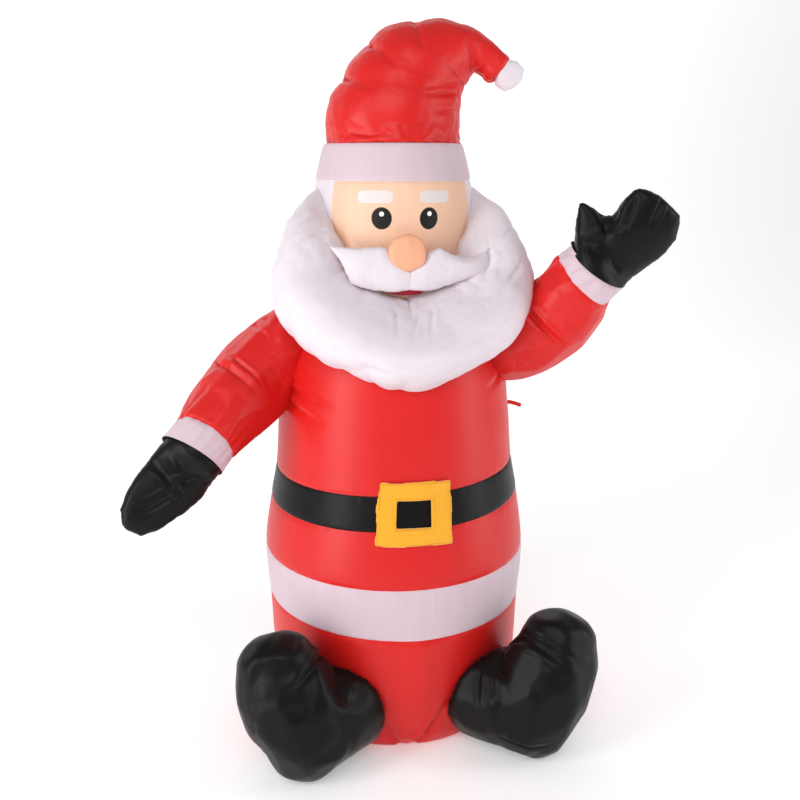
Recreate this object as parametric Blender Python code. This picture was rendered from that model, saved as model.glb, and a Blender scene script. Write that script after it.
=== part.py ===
"""Inflatable seated Santa, in metres with +Z up.

The figure faces -Y and stands on the flat underside of its coat, whose centre is the origin.
It is sewn from nylon panels and pods that hold one body of air, so each solid here is one
sewn piece with the air behind it. Left and right are the figure's own: its left is at +X.
"""

from collections import namedtuple
from math import atan2, ceil, cos, exp, pi, radians, sin

import bmesh
import bpy
from mathutils import Vector

# Floor to the top of the hat. The figure's form and pose are percentages of it.
FIGURE_HEIGHT = 1.2
PERCENT = FIGURE_HEIGHT / 100

# Distance kept between two pieces that touch
GAP = 0.0003
# Thickness of a panel that is sewn in flush with the cloth round it
PANEL = 0.003

# Buckle: a frame of felt, wrapped over the belt
BUCKLE_WIDTH = 0.122
BUCKLE_HEIGHT = 0.104
BUCKLE_FRAME = 0.033
BUCKLE_THICKNESS = 0.004

# Tether tabs: strips of webbing sewn into the side seams
TAB_LENGTH = 0.032
TAB_WIDTH = 0.009
TAB_THICKNESS = 0.003
TAB_DROOP = 0.006

# Heights on the coat and the head
UNDERSIDE_ROUNDING = 2.2 * PERCENT
BAND_BOTTOM = 18.2 * PERCENT
BAND_TOP = 26.0 * PERCENT
BELT_BOTTOM = 34.0 * PERCENT
BELT_TOP = 38.9 * PERCENT
TAB_HEIGHT = 46.4 * PERCENT
NECK = 63.2 * PERCENT
TRIM_BOTTOM = 79.3 * PERCENT
TRIM_TOP = 84.1 * PERCENT

UNDERSIDE_RADIUS = 16.2 * PERCENT
FACE_WIDTH = 21.2 * PERCENT

# (height, radius) up the coat, above its rounded bottom edge
COAT_OUTLINE = [
    (UNDERSIDE_ROUNDING, 17.9 * PERCENT),
    (8.0 * PERCENT, 18.8 * PERCENT),
    (BAND_BOTTOM, 19.2 * PERCENT),
    (BAND_TOP, 19.6 * PERCENT),
    (BELT_BOTTOM, 18.5 * PERCENT),
    (BELT_TOP, 17.6 * PERCENT),
    (47.1 * PERCENT, 16.9 * PERCENT),
    (55.4 * PERCENT, 15.5 * PERCENT),
    (NECK, 10.2 * PERCENT),
]
# (height, radius) up the head and the hat trim
HEAD_OUTLINE = [
    (NECK, 10.0 * PERCENT),
    (75.0 * PERCENT, 11.2 * PERCENT),
    (TRIM_BOTTOM, 10.8 * PERCENT),
    (TRIM_TOP, 9.6 * PERCENT),
]

# Flat sides round a turned piece, and the angle each one takes
TURNED_SIDES = 32
SIDE_ANGLE = 2 * pi / TURNED_SIDES
# Height between two rings of a turned piece, at most
RING_STEP = 5.4 * PERCENT

FRONT = Vector((0, -1, 0))
UP = Vector((0, 0, 1))

# One cross-section of a pod: its centre, half-width and half-depth, and the direction of its
# width where that isn't square to the pod
Section = namedtuple("Section", "centre across deep lean", defaults=[None])


def at(x, y, z, across, deep):
    """A section with its centre at x, y, z, all in percent."""
    return Section(Vector((x, y, z)) * PERCENT, across * PERCENT, deep * PERCENT)


def around(radius, direction, z, across, deep):
    """A section at a distance from the axis, in percent, and a direction.

    The direction is in degrees from the front, towards the figure's left.
    """
    angle = radians(direction)
    return at(radius * sin(angle), -radius * cos(angle), z, across, deep)


def mirrored(sections):
    """The same sections on the figure's other side, in the other order."""
    flip = Vector((-1, 1, 1))
    return [Section(s.centre * flip, s.across, s.deep) for s in reversed(sections)]


def between(outer, inner, y, deep):
    """A section from one x, z point on a pod's outline to the point across from it, in percent."""
    start, end = (Vector((x, y, z)) * PERCENT for x, z in (inner, outer))
    half = (start - end) / 2
    return Section((start + end) / 2, half.length, deep * PERCENT, half.normalized())


# Hat: it rises from the trim, leans to the figure's left and narrows to a drooping tip
HAT = [
    between((-9.6, 84.1), (9.6, 84.1), 0.0, 9.6),
    between((-9.3, 87.0), (8.8, 86.6), 0.0, 9.1),
    between((-8.4, 90.0), (8.4, 88.8), -0.1, 8.6),
    between((-6.9, 92.7), (8.4, 90.3), -0.2, 8.0),
    between((-5.4, 95.1), (8.5, 91.6), -0.4, 7.4),
    between((-3.4, 97.0), (8.8, 92.4), -0.6, 6.8),
    between((-0.9, 99.0), (9.1, 93.0), -0.8, 6.2),
    between((2.7, 99.9), (9.5, 93.4), -1.1, 5.4),
    between((6.5, 100.0), (10.1, 93.7), -1.5, 4.4),
    between((10.3, 98.9), (11.1, 93.8), -1.9, 3.2),
    between((13.2, 97.0), (12.3, 93.4), -2.4, 2.2),
    between((15.6, 94.9), (13.5, 92.8), -2.9, 1.6),
]
# The hat's outer seam is drawn in by a cord, which gathers it at these places along HAT
HAT_GATHERS = (3, 5, 7)
GATHER_DEPTH = 0.075
GATHER_LENGTH = 0.3
GATHER_SPREAD = radians(38)

# Beard: a thick roll from one temple, under the mouth and up to the other temple
BEARD_HALF = [
    around(11.2, -69, 77.8, 1.1, 1.7),
    around(13.3, -65, 74.8, 3.1, 3.1),
    around(14.8, -62, 70.2, 4.1, 4.3),
    around(15.9, -56, 65.3, 4.7, 5.1),
    around(15.9, -44, 61.9, 4.9, 5.5),
    around(15.2, -26, 60.2, 5.1, 5.5),
]
BEARD = BEARD_HALF + [at(0, -15.3, 58.5, 6.0, 5.3)] + mirrored(BEARD_HALF)

# Moustache: two lobes that meet under the nose and reach out over the beard
MOUSTACHE_HALF = [
    at(-9.1, -7.9, 70.4, 0.9, 1.0),
    at(-7.8, -9.4, 69.4, 1.8, 1.7),
    at(-5.8, -10.9, 68.4, 2.5, 2.2),
    at(-3.2, -12.1, 68.1, 2.5, 2.2),
    at(-1.1, -12.5, 67.4, 1.7, 1.7),
]
MOUSTACHE = MOUSTACHE_HALF + [at(0, -12.3, 67.0, 1.1, 1.4)] + mirrored(MOUSTACHE_HALF)

# The left boot turns further out than the right one, in degrees, and reaches further
LEFT_BOOT_TURN = 2
LEFT_BOOT_REACH = 1.2

# Nose: half-width, half-depth and centre of a flattened ball
NOSE = at(0, -12.6, 70.5, 2.6, 2.2)

# Arms: sections 0 to 3 are the sleeve, 3 to 4 the cuff, and the rest the mitten
WRIST, HAND = 3, 4
RIGHT_ARM = [
    at(-10.0, 1.5, 59.0, 5.8, 5.8),
    at(-18.8, -1.4, 54.3, 5.95, 5.95),
    at(-23.7, -6.0, 49.8, 5.4, 5.4),
    at(-27.3, -10.4, 46.1, 4.6, 4.6),
    at(-28.9, -11.3, 44.1, 4.55, 4.55),
    at(-31.6, -12.7, 41.1, 4.45, 4.2),
    at(-34.8, -13.9, 38.0, 3.90, 3.4),
]
RIGHT_THUMB = [at(-29.9, -14.0, 40.9, 2.9, 2.6), at(-31.9, -16.2, 38.5, 2.1, 2.0)]
LEFT_ARM = [
    at(9.0, -1.0, 56.5, 5.6, 5.6),
    at(17.0, -6.2, 57.3, 5.9, 5.9),
    at(22.0, -10.6, 61.4, 5.4, 5.4),
    at(23.9, -13.6, 66.4, 4.45, 4.45),
    at(25.0, -14.6, 68.7, 4.40, 4.40),
    at(26.6, -16.3, 71.7, 4.60, 4.2),
    at(29.9, -17.9, 74.3, 4.30, 3.4),
]
LEFT_THUMB = [at(23.9, -15.8, 71.4, 2.7, 2.5), at(22.4, -16.1, 74.6, 2.0, 1.8)]



def leg(side, turn=0, reach=0):
    """Sections of a boot's leg lobe, from inside the coat to the heel. side is 1 on the left."""
    return [
        around(10.0, side * (30 + turn), 7.8, 6.0, 6.0),
        around(16.5, side * (32 + turn), 7.3, 6.5, 6.4),
        around(22.0 + reach, side * (36 + turn), 6.9, 6.5, 6.5),
    ]


def foot(side, turn=0, reach=0):
    """Sections of a boot's foot, which stands up from the heel and leans outwards."""
    return [
        around(24.7 + reach, side * (38 + turn), 6.2, 6.6, 6.6),
        around(25.6 + reach, side * (41 + turn), 9.8, 6.9, 6.7),
        around(26.6 + reach, side * (44 + turn), 13.8, 6.1, 5.8),
        around(26.9 + reach, side * (46 + turn), 16.9, 4.9, 4.5),
    ]


def through(keys, x):
    """The value at x on the smooth curve through keys, a list of (x, value) in rising x."""
    last = len(keys) - 1
    i = 0
    while i < last - 1 and x > keys[i + 1][0]:
        i += 1
    (x0, v0), (x1, v1) = keys[i], keys[i + 1]
    before, after = keys[max(i - 1, 0)], keys[min(i + 2, last)]
    slope0 = (v1 - before[1]) / (x1 - before[0])
    slope1 = (after[1] - v0) / (after[0] - x0)
    span = x1 - x0
    t = min(max((x - x0) / span, 0.0), 1.0)
    value = v0 * ((1 + 2 * t) * (1 - t) ** 2) + v1 * (t * t * (3 - 2 * t))
    return value + slope0 * (span * t * (1 - t) ** 2) - slope1 * (span * t * t * (1 - t))


def coat_radius(height):
    return through(COAT_OUTLINE, height)


def head_radius(height):
    return through(HEAD_OUTLINE, height)


def surface(profile, height):
    """The radius of a turned piece, which is straight from ring to ring of its profile."""
    rings = [(z, radius) for radius, z in profile if radius]
    height = min(max(height, rings[0][0]), rings[-1][0])
    for (z0, radius0), (z1, radius1) in zip(rings, rings[1:]):
        if z0 <= height <= z1 and z0 < z1:
            return radius0 + (radius1 - radius0) * (height - z0) / (z1 - z0)


def spread(low, high, count):
    """Values from low to high in count equal steps."""
    return [low + (high - low) * i / count for i in range(count + 1)]


def levels(low, high):
    """Heights from low to high, at most a ring step apart."""
    return spread(low, high, max(1, ceil((high - low) / RING_STEP)))


def material(name, colour, roughness):
    """The named material, made the first time it is asked for."""
    made = bpy.data.materials.get(name)
    if made is None:
        made = bpy.data.materials.new(name)
        made.use_nodes = True
        shader = made.node_tree.nodes["Principled BSDF"]
        shader.inputs["Base Color"].default_value = (*colour, 1)
        shader.inputs["Roughness"].default_value = roughness
        shader.inputs["Metallic"].default_value = 0
    return made


def red_nylon():
    return material("red_nylon", (0.72, 0.028, 0.024), 0.45)


def white_nylon():
    return material("white_nylon", (0.85, 0.82, 0.85), 0.5)


def black_nylon():
    return material("black_nylon", (0.014, 0.012, 0.012), 0.45)


def skin_nylon():
    return material("skin_nylon", (0.86, 0.52, 0.33), 0.5)


def yellow_felt():
    return material("yellow_felt", (0.92, 0.47, 0.05), 0.9)


def add_object(name, solid, finish):
    """Makes an object of a bmesh, with its faces pointing out."""
    bmesh.ops.recalc_face_normals(solid, faces=solid.faces)
    mesh = bpy.data.meshes.new(name)
    solid.to_mesh(mesh)
    solid.free()
    mesh.shade_smooth()
    mesh.set_sharp_from_angle(angle=radians(40))
    obj = bpy.data.objects.new(name, mesh)
    bpy.context.scene.collection.objects.link(obj)
    if finish is not None:
        mesh.materials.append(finish)
    return obj


def helper(obj):
    """Marks an object that only cuts or joins others."""
    obj.hide_render = True
    obj.display_type = "WIRE"
    return obj


def boolean(obj, operation, *others):
    """Cuts or joins. use_self is for a pod that bends so far that it folds into itself."""
    for other in others:
        modifier = obj.modifiers.new(operation.title() + "_" + other.name, "BOOLEAN")
        modifier.operation = operation
        modifier.solver = "EXACT"
        modifier.use_self = True
        modifier.object = other
    return obj


def turned(name, profile, finish, closed=False):
    """A solid of revolution. The profile is (radius, height) points from the bottom up."""
    solid = bmesh.new()
    points = [solid.verts.new((radius, 0, height)) for radius, height in profile]
    ends = list(zip(points, points[1:]))
    if closed:
        ends.append((points[-1], points[0]))
    edges = [solid.edges.new(pair) for pair in ends]
    bmesh.ops.spin(
        solid,
        geom=points + edges,
        axis=UP,
        cent=(0, 0, 0),
        angle=2 * pi,
        steps=TURNED_SIDES,
        use_merge=True,
    )
    bmesh.ops.remove_doubles(solid, verts=solid.verts, dist=1e-6)
    return add_object(name, solid, finish)


def coat_profile(channel, grow):
    """(radius, height) points up the coat. channel is the depth of its two channels."""
    edge = coat_radius(UNDERSIDE_ROUNDING)
    profile = [(0, -grow), (UNDERSIDE_RADIUS, -grow)]
    for share in (1 / 3, 2 / 3):
        angle = share * pi / 2
        radius = UNDERSIDE_RADIUS + (edge - UNDERSIDE_RADIUS) * sin(angle)
        profile.append((radius + grow, UNDERSIDE_ROUNDING * (1 - cos(angle))))
    floor = UNDERSIDE_ROUNDING
    for low, high in ((BAND_BOTTOM, BAND_TOP), (BELT_BOTTOM, BELT_TOP)):
        profile += [(coat_radius(z) + grow, z) for z in levels(floor, low)]
        profile += [(coat_radius(z) + grow - channel, z) for z in levels(low, high)]
        floor = high
    profile += [(coat_radius(z) + grow, z) for z in levels(floor, NECK)]
    if grow:
        profile.append((profile[-1][0], NECK + grow))
    profile.append((0, NECK + grow))
    return profile


def coat():
    """The round red body. Two shallow channels take the belt and the white band."""
    return turned("coat", coat_profile(PANEL + GAP, 0), red_nylon())


def coat_space():
    """The coat without its channels, larger by the gap. It cuts what is sewn to the coat."""
    return helper(turned("coat_space", coat_profile(0, GAP), None))


def head_profile(low, high, grow=0.0):
    """(radius, height) points up the head from low to high."""
    profile = [(head_radius(z) + grow, z) for z in levels(low, high)]
    return [(0, low)] + profile + [(0, high)]


def head_space():
    """The head and the hat trim, larger by the gap."""
    lower = head_profile(NECK, TRIM_BOTTOM, GAP)[:-1]
    upper = head_profile(TRIM_BOTTOM, TRIM_TOP, GAP)[2:]
    return helper(turned("head_space", lower + upper, None))


def sewn_ring(name, low, high, finish):
    """A strip of cloth that fills its channel in the coat, flush with the coat's surface."""
    heights = levels(low + GAP, high - GAP)
    outside = [(coat_radius(z), z) for z in heights]
    inside = [(coat_radius(z) - PANEL, z) for z in reversed(heights)]
    return turned(name, outside + inside, finish, closed=True)


def wrapped_plate(name, width, rows, profile, back, front, finish, frame=0.0):
    """A rectangle of cloth wrapped round the front of the turned piece that has a profile.

    rows are the heights of its grid. Its back and its front are that far outside the piece.
    frame, if given, is the width of the rim left round an open middle.
    """
    reach = width / 2 / surface(profile, (rows[0] + rows[-1]) / 2)
    opening = reach * (1 - 2 * frame / width)
    corners = int(reach / SIDE_ANGLE)
    angles = {i * SIDE_ANGLE for i in range(-corners, corners + 1)}
    angles = sorted(angles | {-reach, -opening, opening, reach})
    plate = bmesh.new()
    grid = [[plate.verts.new((angle, 0, z)) for angle in angles] for z in rows]
    for j in range(len(rows) - 1):
        in_rim = min(rows[j + 1] - rows[0], rows[-1] - rows[j]) < frame * 1.01
        for i in range(len(angles) - 1):
            beside = max(abs(angles[i]), abs(angles[i + 1])) > opening * 1.01
            if in_rim or beside or not frame:
                plate.faces.new((grid[j][i], grid[j][i + 1], grid[j + 1][i + 1], grid[j + 1][i]))
    loose = [v for v in plate.verts if not v.link_faces]
    bmesh.ops.delete(plate, geom=loose, context="VERTS")
    made = bmesh.ops.extrude_face_region(plate, geom=list(plate.faces), use_keep_orig=True)
    behind = {v for v in made["geom"] if isinstance(v, bmesh.types.BMVert)}
    for v in plate.verts:
        angle, z = v.co.x, v.co.z
        # The middle of a flat side is nearer to the axis than its corners
        flat = cos(SIDE_ANGLE / 2) / cos(angle % SIDE_ANGLE - SIDE_ANGLE / 2)
        radius = surface(profile, z) * flat + (back if v in behind else front)
        v.co = (radius * sin(angle), -radius * cos(angle), z)
    return add_object(name, plate, finish)


def buckle():
    """The felt frame. The belt shows through its window."""
    bottom = (BELT_BOTTOM + BELT_TOP - BUCKLE_HEIGHT) / 2
    top = bottom + BUCKLE_HEIGHT
    rows = [bottom, BELT_BOTTOM, bottom + BUCKLE_FRAME, top - BUCKLE_FRAME, BELT_TOP, top]
    under, front = coat_profile(0, 0), GAP + BUCKLE_THICKNESS
    return wrapped_plate(
        "buckle", BUCKLE_WIDTH, rows, under, GAP, front, yellow_felt(), BUCKLE_FRAME
    )


def whole_head():
    """The head's profile."""
    return head_profile(NECK + GAP, TRIM_BOTTOM - GAP)


def face(name, back, front, margin, finish):
    """The skin-coloured panel of the head. margin makes it larger at its sides and ends."""
    rows = [z for radius, z in whole_head()[1:-1]]
    rows[0] -= margin
    rows[-1] += margin
    width = FACE_WIDTH + 2 * margin
    return wrapped_plate(name, width, rows, whole_head(), back, front, finish)


def head():
    """The white head. A recess in its front takes the face panel."""
    recess = helper(face("face_recess", -PANEL - GAP, PANEL, GAP, None))
    return boolean(turned("head", whole_head(), white_nylon()), "DIFFERENCE", recess)


def hat_trim():
    return turned("hat_trim", head_profile(TRIM_BOTTOM, TRIM_TOP - GAP), white_nylon())


def pod(name, sections, finish, places, sides, domes=(0, 0), grow=0.0, shape=None):
    """A blown-up tube through sections, with a ring of vertices at each place along them.

    domes gives how far each rounded end reaches past its last ring, and 0 leaves it flat.
    shape, if given, scales the radius at a place and an angle round the tube.
    """
    centres = [(i, s.centre) for i, s in enumerate(sections)]
    widths = [(i, s.across) for i, s in enumerate(sections)]
    depths = [(i, s.deep) for i, s in enumerate(sections)]
    leans = [(i, s.lean) for i, s in enumerate(sections)]
    last = len(sections) - 1
    tube = bmesh.new()

    def direction(place):
        ahead = through(centres, min(place + 0.02, last))
        return (ahead - through(centres, max(place - 0.02, 0))).normalized()

    def ring(place, slide=0.0, shrink=1.0):
        along = direction(place)
        side = along.cross(FRONT).normalized() if leans[0][1] is None else through(leans, place)
        middle = through(centres, place) + along * slide
        across = side * ((through(widths, place) + grow) * shrink)
        deep = side.cross(along).normalized() * ((through(depths, place) + grow) * shrink)
        made = []
        for i in range(sides):
            angle = 2 * pi * i / sides
            scale = shape(place, angle) if shape else 1.0
            made.append(tube.verts.new(middle + (across * cos(angle) - deep * sin(angle)) * scale))
        return made

    def dome(place, reach):
        """Shrinking rings from place towards the tip, and the tip."""
        bends = [share * pi / 2 for share in (0.27, 0.52, 0.76)]
        rings = [ring(place, reach * sin(bend), cos(bend)) for bend in bends]
        tip = tube.verts.new(through(centres, place) + direction(place) * reach)
        return rings, tip

    rings = [ring(place) for place in places]
    tips = [None, None]
    if domes[0]:
        first, tips[0] = dome(places[0], -domes[0] - grow)
        rings = first[::-1] + rings
    if domes[1]:
        final, tips[1] = dome(places[-1], domes[1] + grow)
        rings += final
    for low, high in zip(rings, rings[1:]):
        for i in range(sides):
            j = (i + 1) % sides
            tube.faces.new((low[i], low[j], high[j], high[i]))
    for end, tip in ((rings[0], tips[0]), (rings[-1], tips[1])):
        if tip is None:
            tube.faces.new(end)
            continue
        for i in range(sides):
            tube.faces.new((end[i], end[(i + 1) % sides], tip))
    # Flat triangles stay as they are when the pod is cut, and bent faces wouldn't
    bmesh.ops.triangulate(tube, faces=tube.faces)
    return add_object(name, tube, finish)


def gathered(place, angle):
    """How much the hat's radius shrinks where its outer seam is drawn in."""
    from_seam = atan2(sin(angle - pi), cos(angle - pi)) / GATHER_SPREAD
    pull = sum(exp(-abs(place - gather) / GATHER_LENGTH) for gather in HAT_GATHERS)
    return 1 - GATHER_DEPTH * pull * exp(-from_seam * from_seam)


def hat():
    places = {0, 0.7, 1.4, 2, 8.5, 9.2, 9.8, 10.4, 11}
    for gather in HAT_GATHERS:
        places |= {gather - 0.6, gather - 0.25, gather, gather + 0.25, gather + 0.6, gather + 1}
    sections = [HAT[0]._replace(centre=HAT[0].centre + UP * GAP)] + HAT[1:]
    return pod("hat", sections, red_nylon(), sorted(places), 20, shape=gathered)


def pompom(name, finish, grow=0.0):
    """A small pod that the tip of the hat is sewn into."""
    tip = HAT[-1].centre
    along = (tip - HAT[-2].centre).normalized() * PERCENT
    sections = [
        Section(tip - along * 0.2, 1.80 * PERCENT, 1.85 * PERCENT),
        Section(tip + along * 0.9, 1.90 * PERCENT, 1.95 * PERCENT),
        Section(tip + along * 1.9, 1.60 * PERCENT, 1.70 * PERCENT),
    ]
    domes = (0.8 * PERCENT, 0.8 * PERCENT)
    return pod(name, sections, finish, (0, 1, 2), 14, domes, grow)


def beard(name, finish, grow=0.0):
    places = spread(0, len(BEARD) - 1, 22)
    domes = (1.0 * PERCENT, 1.0 * PERCENT)
    return pod(name, BEARD, finish, places, 16, domes, grow)


def moustache():
    places = spread(0, len(MOUSTACHE) - 1, 16)
    domes = (0.7 * PERCENT, 0.7 * PERCENT)
    return pod("moustache", MOUSTACHE, white_nylon(), places, 12, domes)


def nose(name, finish, grow=0.0):
    ball = bmesh.new()
    bmesh.ops.create_uvsphere(ball, u_segments=15, v_segments=9, radius=1.0)
    width, depth = NOSE.across + grow, NOSE.deep + grow
    bmesh.ops.scale(ball, vec=(width, depth, width), verts=ball.verts)
    bmesh.ops.translate(ball, vec=NOSE.centre, verts=ball.verts)
    return add_object(name, ball, finish)


def arm(side, sections, thumb, against):
    """Sleeve, cuff and mitten along one arm. The sleeve is cut back to what it is sewn to."""
    nudge = GAP / (sections[HAND].centre - sections[WRIST].centre).length
    sleeve = pod(side + "_sleeve", sections, red_nylon(), spread(0, WRIST, 9), 14)
    boolean(sleeve, "DIFFERENCE", *against)
    pod(side + "_cuff", sections, white_nylon(), (WRIST + nudge, HAND - 2 * nudge), 14)
    cuff_space = pod(side + "_cuff_space", sections, None, (WRIST, HAND - nudge), 14, grow=GAP)
    places = spread(HAND, len(sections) - 1, 6)
    mitten = pod(side + "_mitten", sections, black_nylon(), places, 14, (0, 3.2 * PERCENT))
    domes = (1.7 * PERCENT, 1.5 * PERCENT)
    lobe = pod(side + "_thumb", thumb, None, (0, 0.5, 1), 12, domes)
    boolean(mitten, "UNION", helper(lobe))
    return boolean(mitten, "DIFFERENCE", helper(cuff_space))


def boot(name, leg_sections, foot_sections, against):
    """The leg lobe and the foot, joined at a creased ankle and flat where they meet the floor."""
    lobe = pod(name + "_leg", leg_sections, None, spread(0, 2, 5), 16, (0, 4.2 * PERCENT))
    domes = (6.6 * PERCENT, 3.4 * PERCENT)
    upright = pod(name, foot_sections, black_nylon(), spread(0, 3, 7), 16, domes)
    for obj in (lobe, upright):
        for v in obj.data.vertices:
            v.co.z = max(v.co.z, 0.0)
    boolean(upright, "UNION", helper(lobe))
    return boolean(upright, "DIFFERENCE", against)


def tether_tab(name, side):
    """A short strip at the coat's side, for a guy line."""
    root = coat_radius(TAB_HEIGHT) + GAP
    half_width, half_thickness = TAB_WIDTH / 2, TAB_THICKNESS / 2
    sections = []
    for share in (0, 0.5, 1):
        centre = Vector((side * (root + TAB_LENGTH * share), 0, TAB_HEIGHT - TAB_DROOP * share**2))
        sections.append(Section(centre, half_thickness, half_width))
    return pod(name, sections, red_nylon(), spread(0, 2, 4), 8)


def build():
    for old in list(bpy.data.objects):
        bpy.data.objects.remove(old)
    body, neck = coat_space(), head_space()
    coat()
    sewn_ring("belt", BELT_BOTTOM, BELT_TOP, black_nylon())
    sewn_ring("coat_band", BAND_BOTTOM, BAND_TOP, white_nylon())
    buckle()
    head()
    face("face", -PANEL, 0, 0, skin_nylon())
    hat_trim()
    pompom("pompom", white_nylon())
    boolean(hat(), "DIFFERENCE", helper(pompom("pompom_space", None, GAP)))
    beard_space = helper(beard("beard_space", None, GAP))
    nose_space = helper(nose("nose_space", None, GAP))
    boolean(beard("beard", white_nylon()), "DIFFERENCE", body, neck)
    boolean(nose("nose", skin_nylon()), "DIFFERENCE", neck)
    boolean(moustache(), "DIFFERENCE", neck, beard_space, nose_space)
    arm("right", RIGHT_ARM, RIGHT_THUMB, (body, beard_space))
    arm("left", LEFT_ARM, LEFT_THUMB, (body, beard_space))
    turn, reach = LEFT_BOOT_TURN, LEFT_BOOT_REACH
    boot("left_boot", leg(1, turn, reach), foot(1, turn, reach), body)
    boot("right_boot", leg(-1), foot(-1), body)
    tether_tab("left_tether_tab", 1)
    tether_tab("right_tether_tab", -1)


build()
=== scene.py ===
"""Inflatable seated Santa, dressed for the photograph. Metres, +Z up, the figure faces -Y.

The figure's own left is at +X. Sizes in percent are shares of its height.
"""
from math import atan, cos, pi, radians, sin, sqrt, tau

import bmesh
import bpy
import numpy as np
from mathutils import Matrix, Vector, noise
from mathutils.geometry import delaunay_2d_cdt


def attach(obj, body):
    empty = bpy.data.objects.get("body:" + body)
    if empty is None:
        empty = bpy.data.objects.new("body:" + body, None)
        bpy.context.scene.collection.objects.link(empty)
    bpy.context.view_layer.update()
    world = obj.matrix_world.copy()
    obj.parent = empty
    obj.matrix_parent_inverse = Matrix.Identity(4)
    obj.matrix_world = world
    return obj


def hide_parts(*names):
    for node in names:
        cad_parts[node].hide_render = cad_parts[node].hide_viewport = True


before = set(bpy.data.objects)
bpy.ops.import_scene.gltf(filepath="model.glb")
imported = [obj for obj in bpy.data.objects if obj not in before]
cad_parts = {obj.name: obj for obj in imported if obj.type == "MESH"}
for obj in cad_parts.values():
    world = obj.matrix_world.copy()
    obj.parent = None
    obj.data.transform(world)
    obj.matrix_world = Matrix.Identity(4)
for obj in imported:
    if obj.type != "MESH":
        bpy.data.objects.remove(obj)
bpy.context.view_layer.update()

# Camera. It stands a little above the figure, nine degrees to the figure's right and about
# a metre and a half away, which is near enough to see the hat and the boots both at a slant.
CAMERA_DISTANCE, CAMERA_HEIGHT = 1.54, 0.981
CAMERA_TURN, CAMERA_PITCH = radians(9), radians(15)
SENSOR_WIDTH, PHOTO_WIDTH, FOCAL_LENGTH_PIXELS = 36.0, 800, 890
# How far left of the picture's middle the figure's axis is
AXIS_OFFSET_PIXELS = 7

camera = bpy.data.objects.new("camera", bpy.data.cameras.new("camera"))
bpy.context.scene.collection.objects.link(camera)
bpy.context.scene.camera = camera
camera.data.sensor_fit = "HORIZONTAL"
camera.data.sensor_width = SENSOR_WIDTH
camera.data.lens = FOCAL_LENGTH_PIXELS / PHOTO_WIDTH * SENSOR_WIDTH
aside, forward = sin(CAMERA_TURN), cos(CAMERA_TURN)
camera.location = (-CAMERA_DISTANCE * aside, -CAMERA_DISTANCE * forward, CAMERA_HEIGHT)
heading = CAMERA_TURN + atan(AXIS_OFFSET_PIXELS / FOCAL_LENGTH_PIXELS * cos(CAMERA_PITCH))
level, fall = cos(CAMERA_PITCH), -sin(CAMERA_PITCH)
gaze = Vector((sin(heading) * level, cos(heading) * level, fall))
camera.rotation_euler = gaze.to_track_quat("-Z", "Y").to_euler()


# Studio. A pale paper backdrop that sweeps up behind the figure, a tall softbox on each side,
# which lays a bright upright stripe on every round form, and a weak one over the camera.
def linear(code):
    """The colour of an sRGB hex code as the shaders take it."""
    values = [int(code[i:i + 2], 16) / 255 for i in (0, 2, 4)]
    return [v / 12.92 if v <= 0.04045 else ((v + 0.055) / 1.055) ** 2.4 for v in values] + [1]


def add(tree, kind, settings=None, inputs=None):
    """Adds a node, sets its properties, and gives its inputs values or links."""
    made = tree.nodes.new(kind)
    for key, value in (settings or {}).items():
        setattr(made, key, value)
    for key, value in (inputs or {}).items():
        if isinstance(value, bpy.types.NodeSocket):
            tree.links.new(value, made.inputs[key])
        else:
            made.inputs[key].default_value = value
    return made


def new_material(name, inputs):
    """A material, its node tree, and its Principled shader with values for its inputs."""
    made = bpy.data.materials.new(name)
    made.use_nodes = True
    shader = made.node_tree.nodes["Principled BSDF"]
    for key, value in inputs.items():
        shader.inputs[key].default_value = value
    return made, made.node_tree, shader


def linked(name, data):
    """A new object of some data, in the scene."""
    made = bpy.data.objects.new(name, data)
    bpy.context.scene.collection.objects.link(made)
    return made


BACKDROP_WIDTH, BACKDROP_FRONT, BACKDROP_BACK, BACKDROP_CURVE = 14.0, -5.0, 2.4, 2.0
paper, _, _ = new_material("matt_backdrop_paper", {
    "Base Color": linear("FCFCFD"),
    "Roughness": 1.0,
    "Specular IOR Level": 0.0,
    "Emission Color": linear("FFFFFF"),
    "Emission Strength": 0.25,
})
sweep = [(BACKDROP_FRONT, 0.0), (BACKDROP_BACK, 0.0)]
sweep += [
    (BACKDROP_BACK + BACKDROP_CURVE * sin(a), BACKDROP_CURVE * (1 - cos(a)))
    for a in np.linspace(0, pi / 2, 13)[1:]
]
sweep.append((sweep[-1][0], 6.0))
backdrop = linked("backdrop", bpy.data.meshes.new("backdrop"))
backdrop.data.from_pydata(
    [(side * BACKDROP_WIDTH / 2, y, z) for y, z in sweep for side in (-1, 1)],
    [],
    [(2 * i, 2 * i + 1, 2 * i + 3, 2 * i + 2) for i in range(len(sweep) - 1)],
)
backdrop.data.shade_smooth()
backdrop.data.materials.append(paper)

world = bpy.data.worlds.new("white_surround")
world.use_nodes = True
surround = world.node_tree.nodes["Background"].inputs
surround["Color"].default_value = linear("FFFFFF")
surround["Strength"].default_value = 0.38
bpy.context.scene.world = world
bpy.context.scene.view_settings.view_transform = "Standard"

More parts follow.
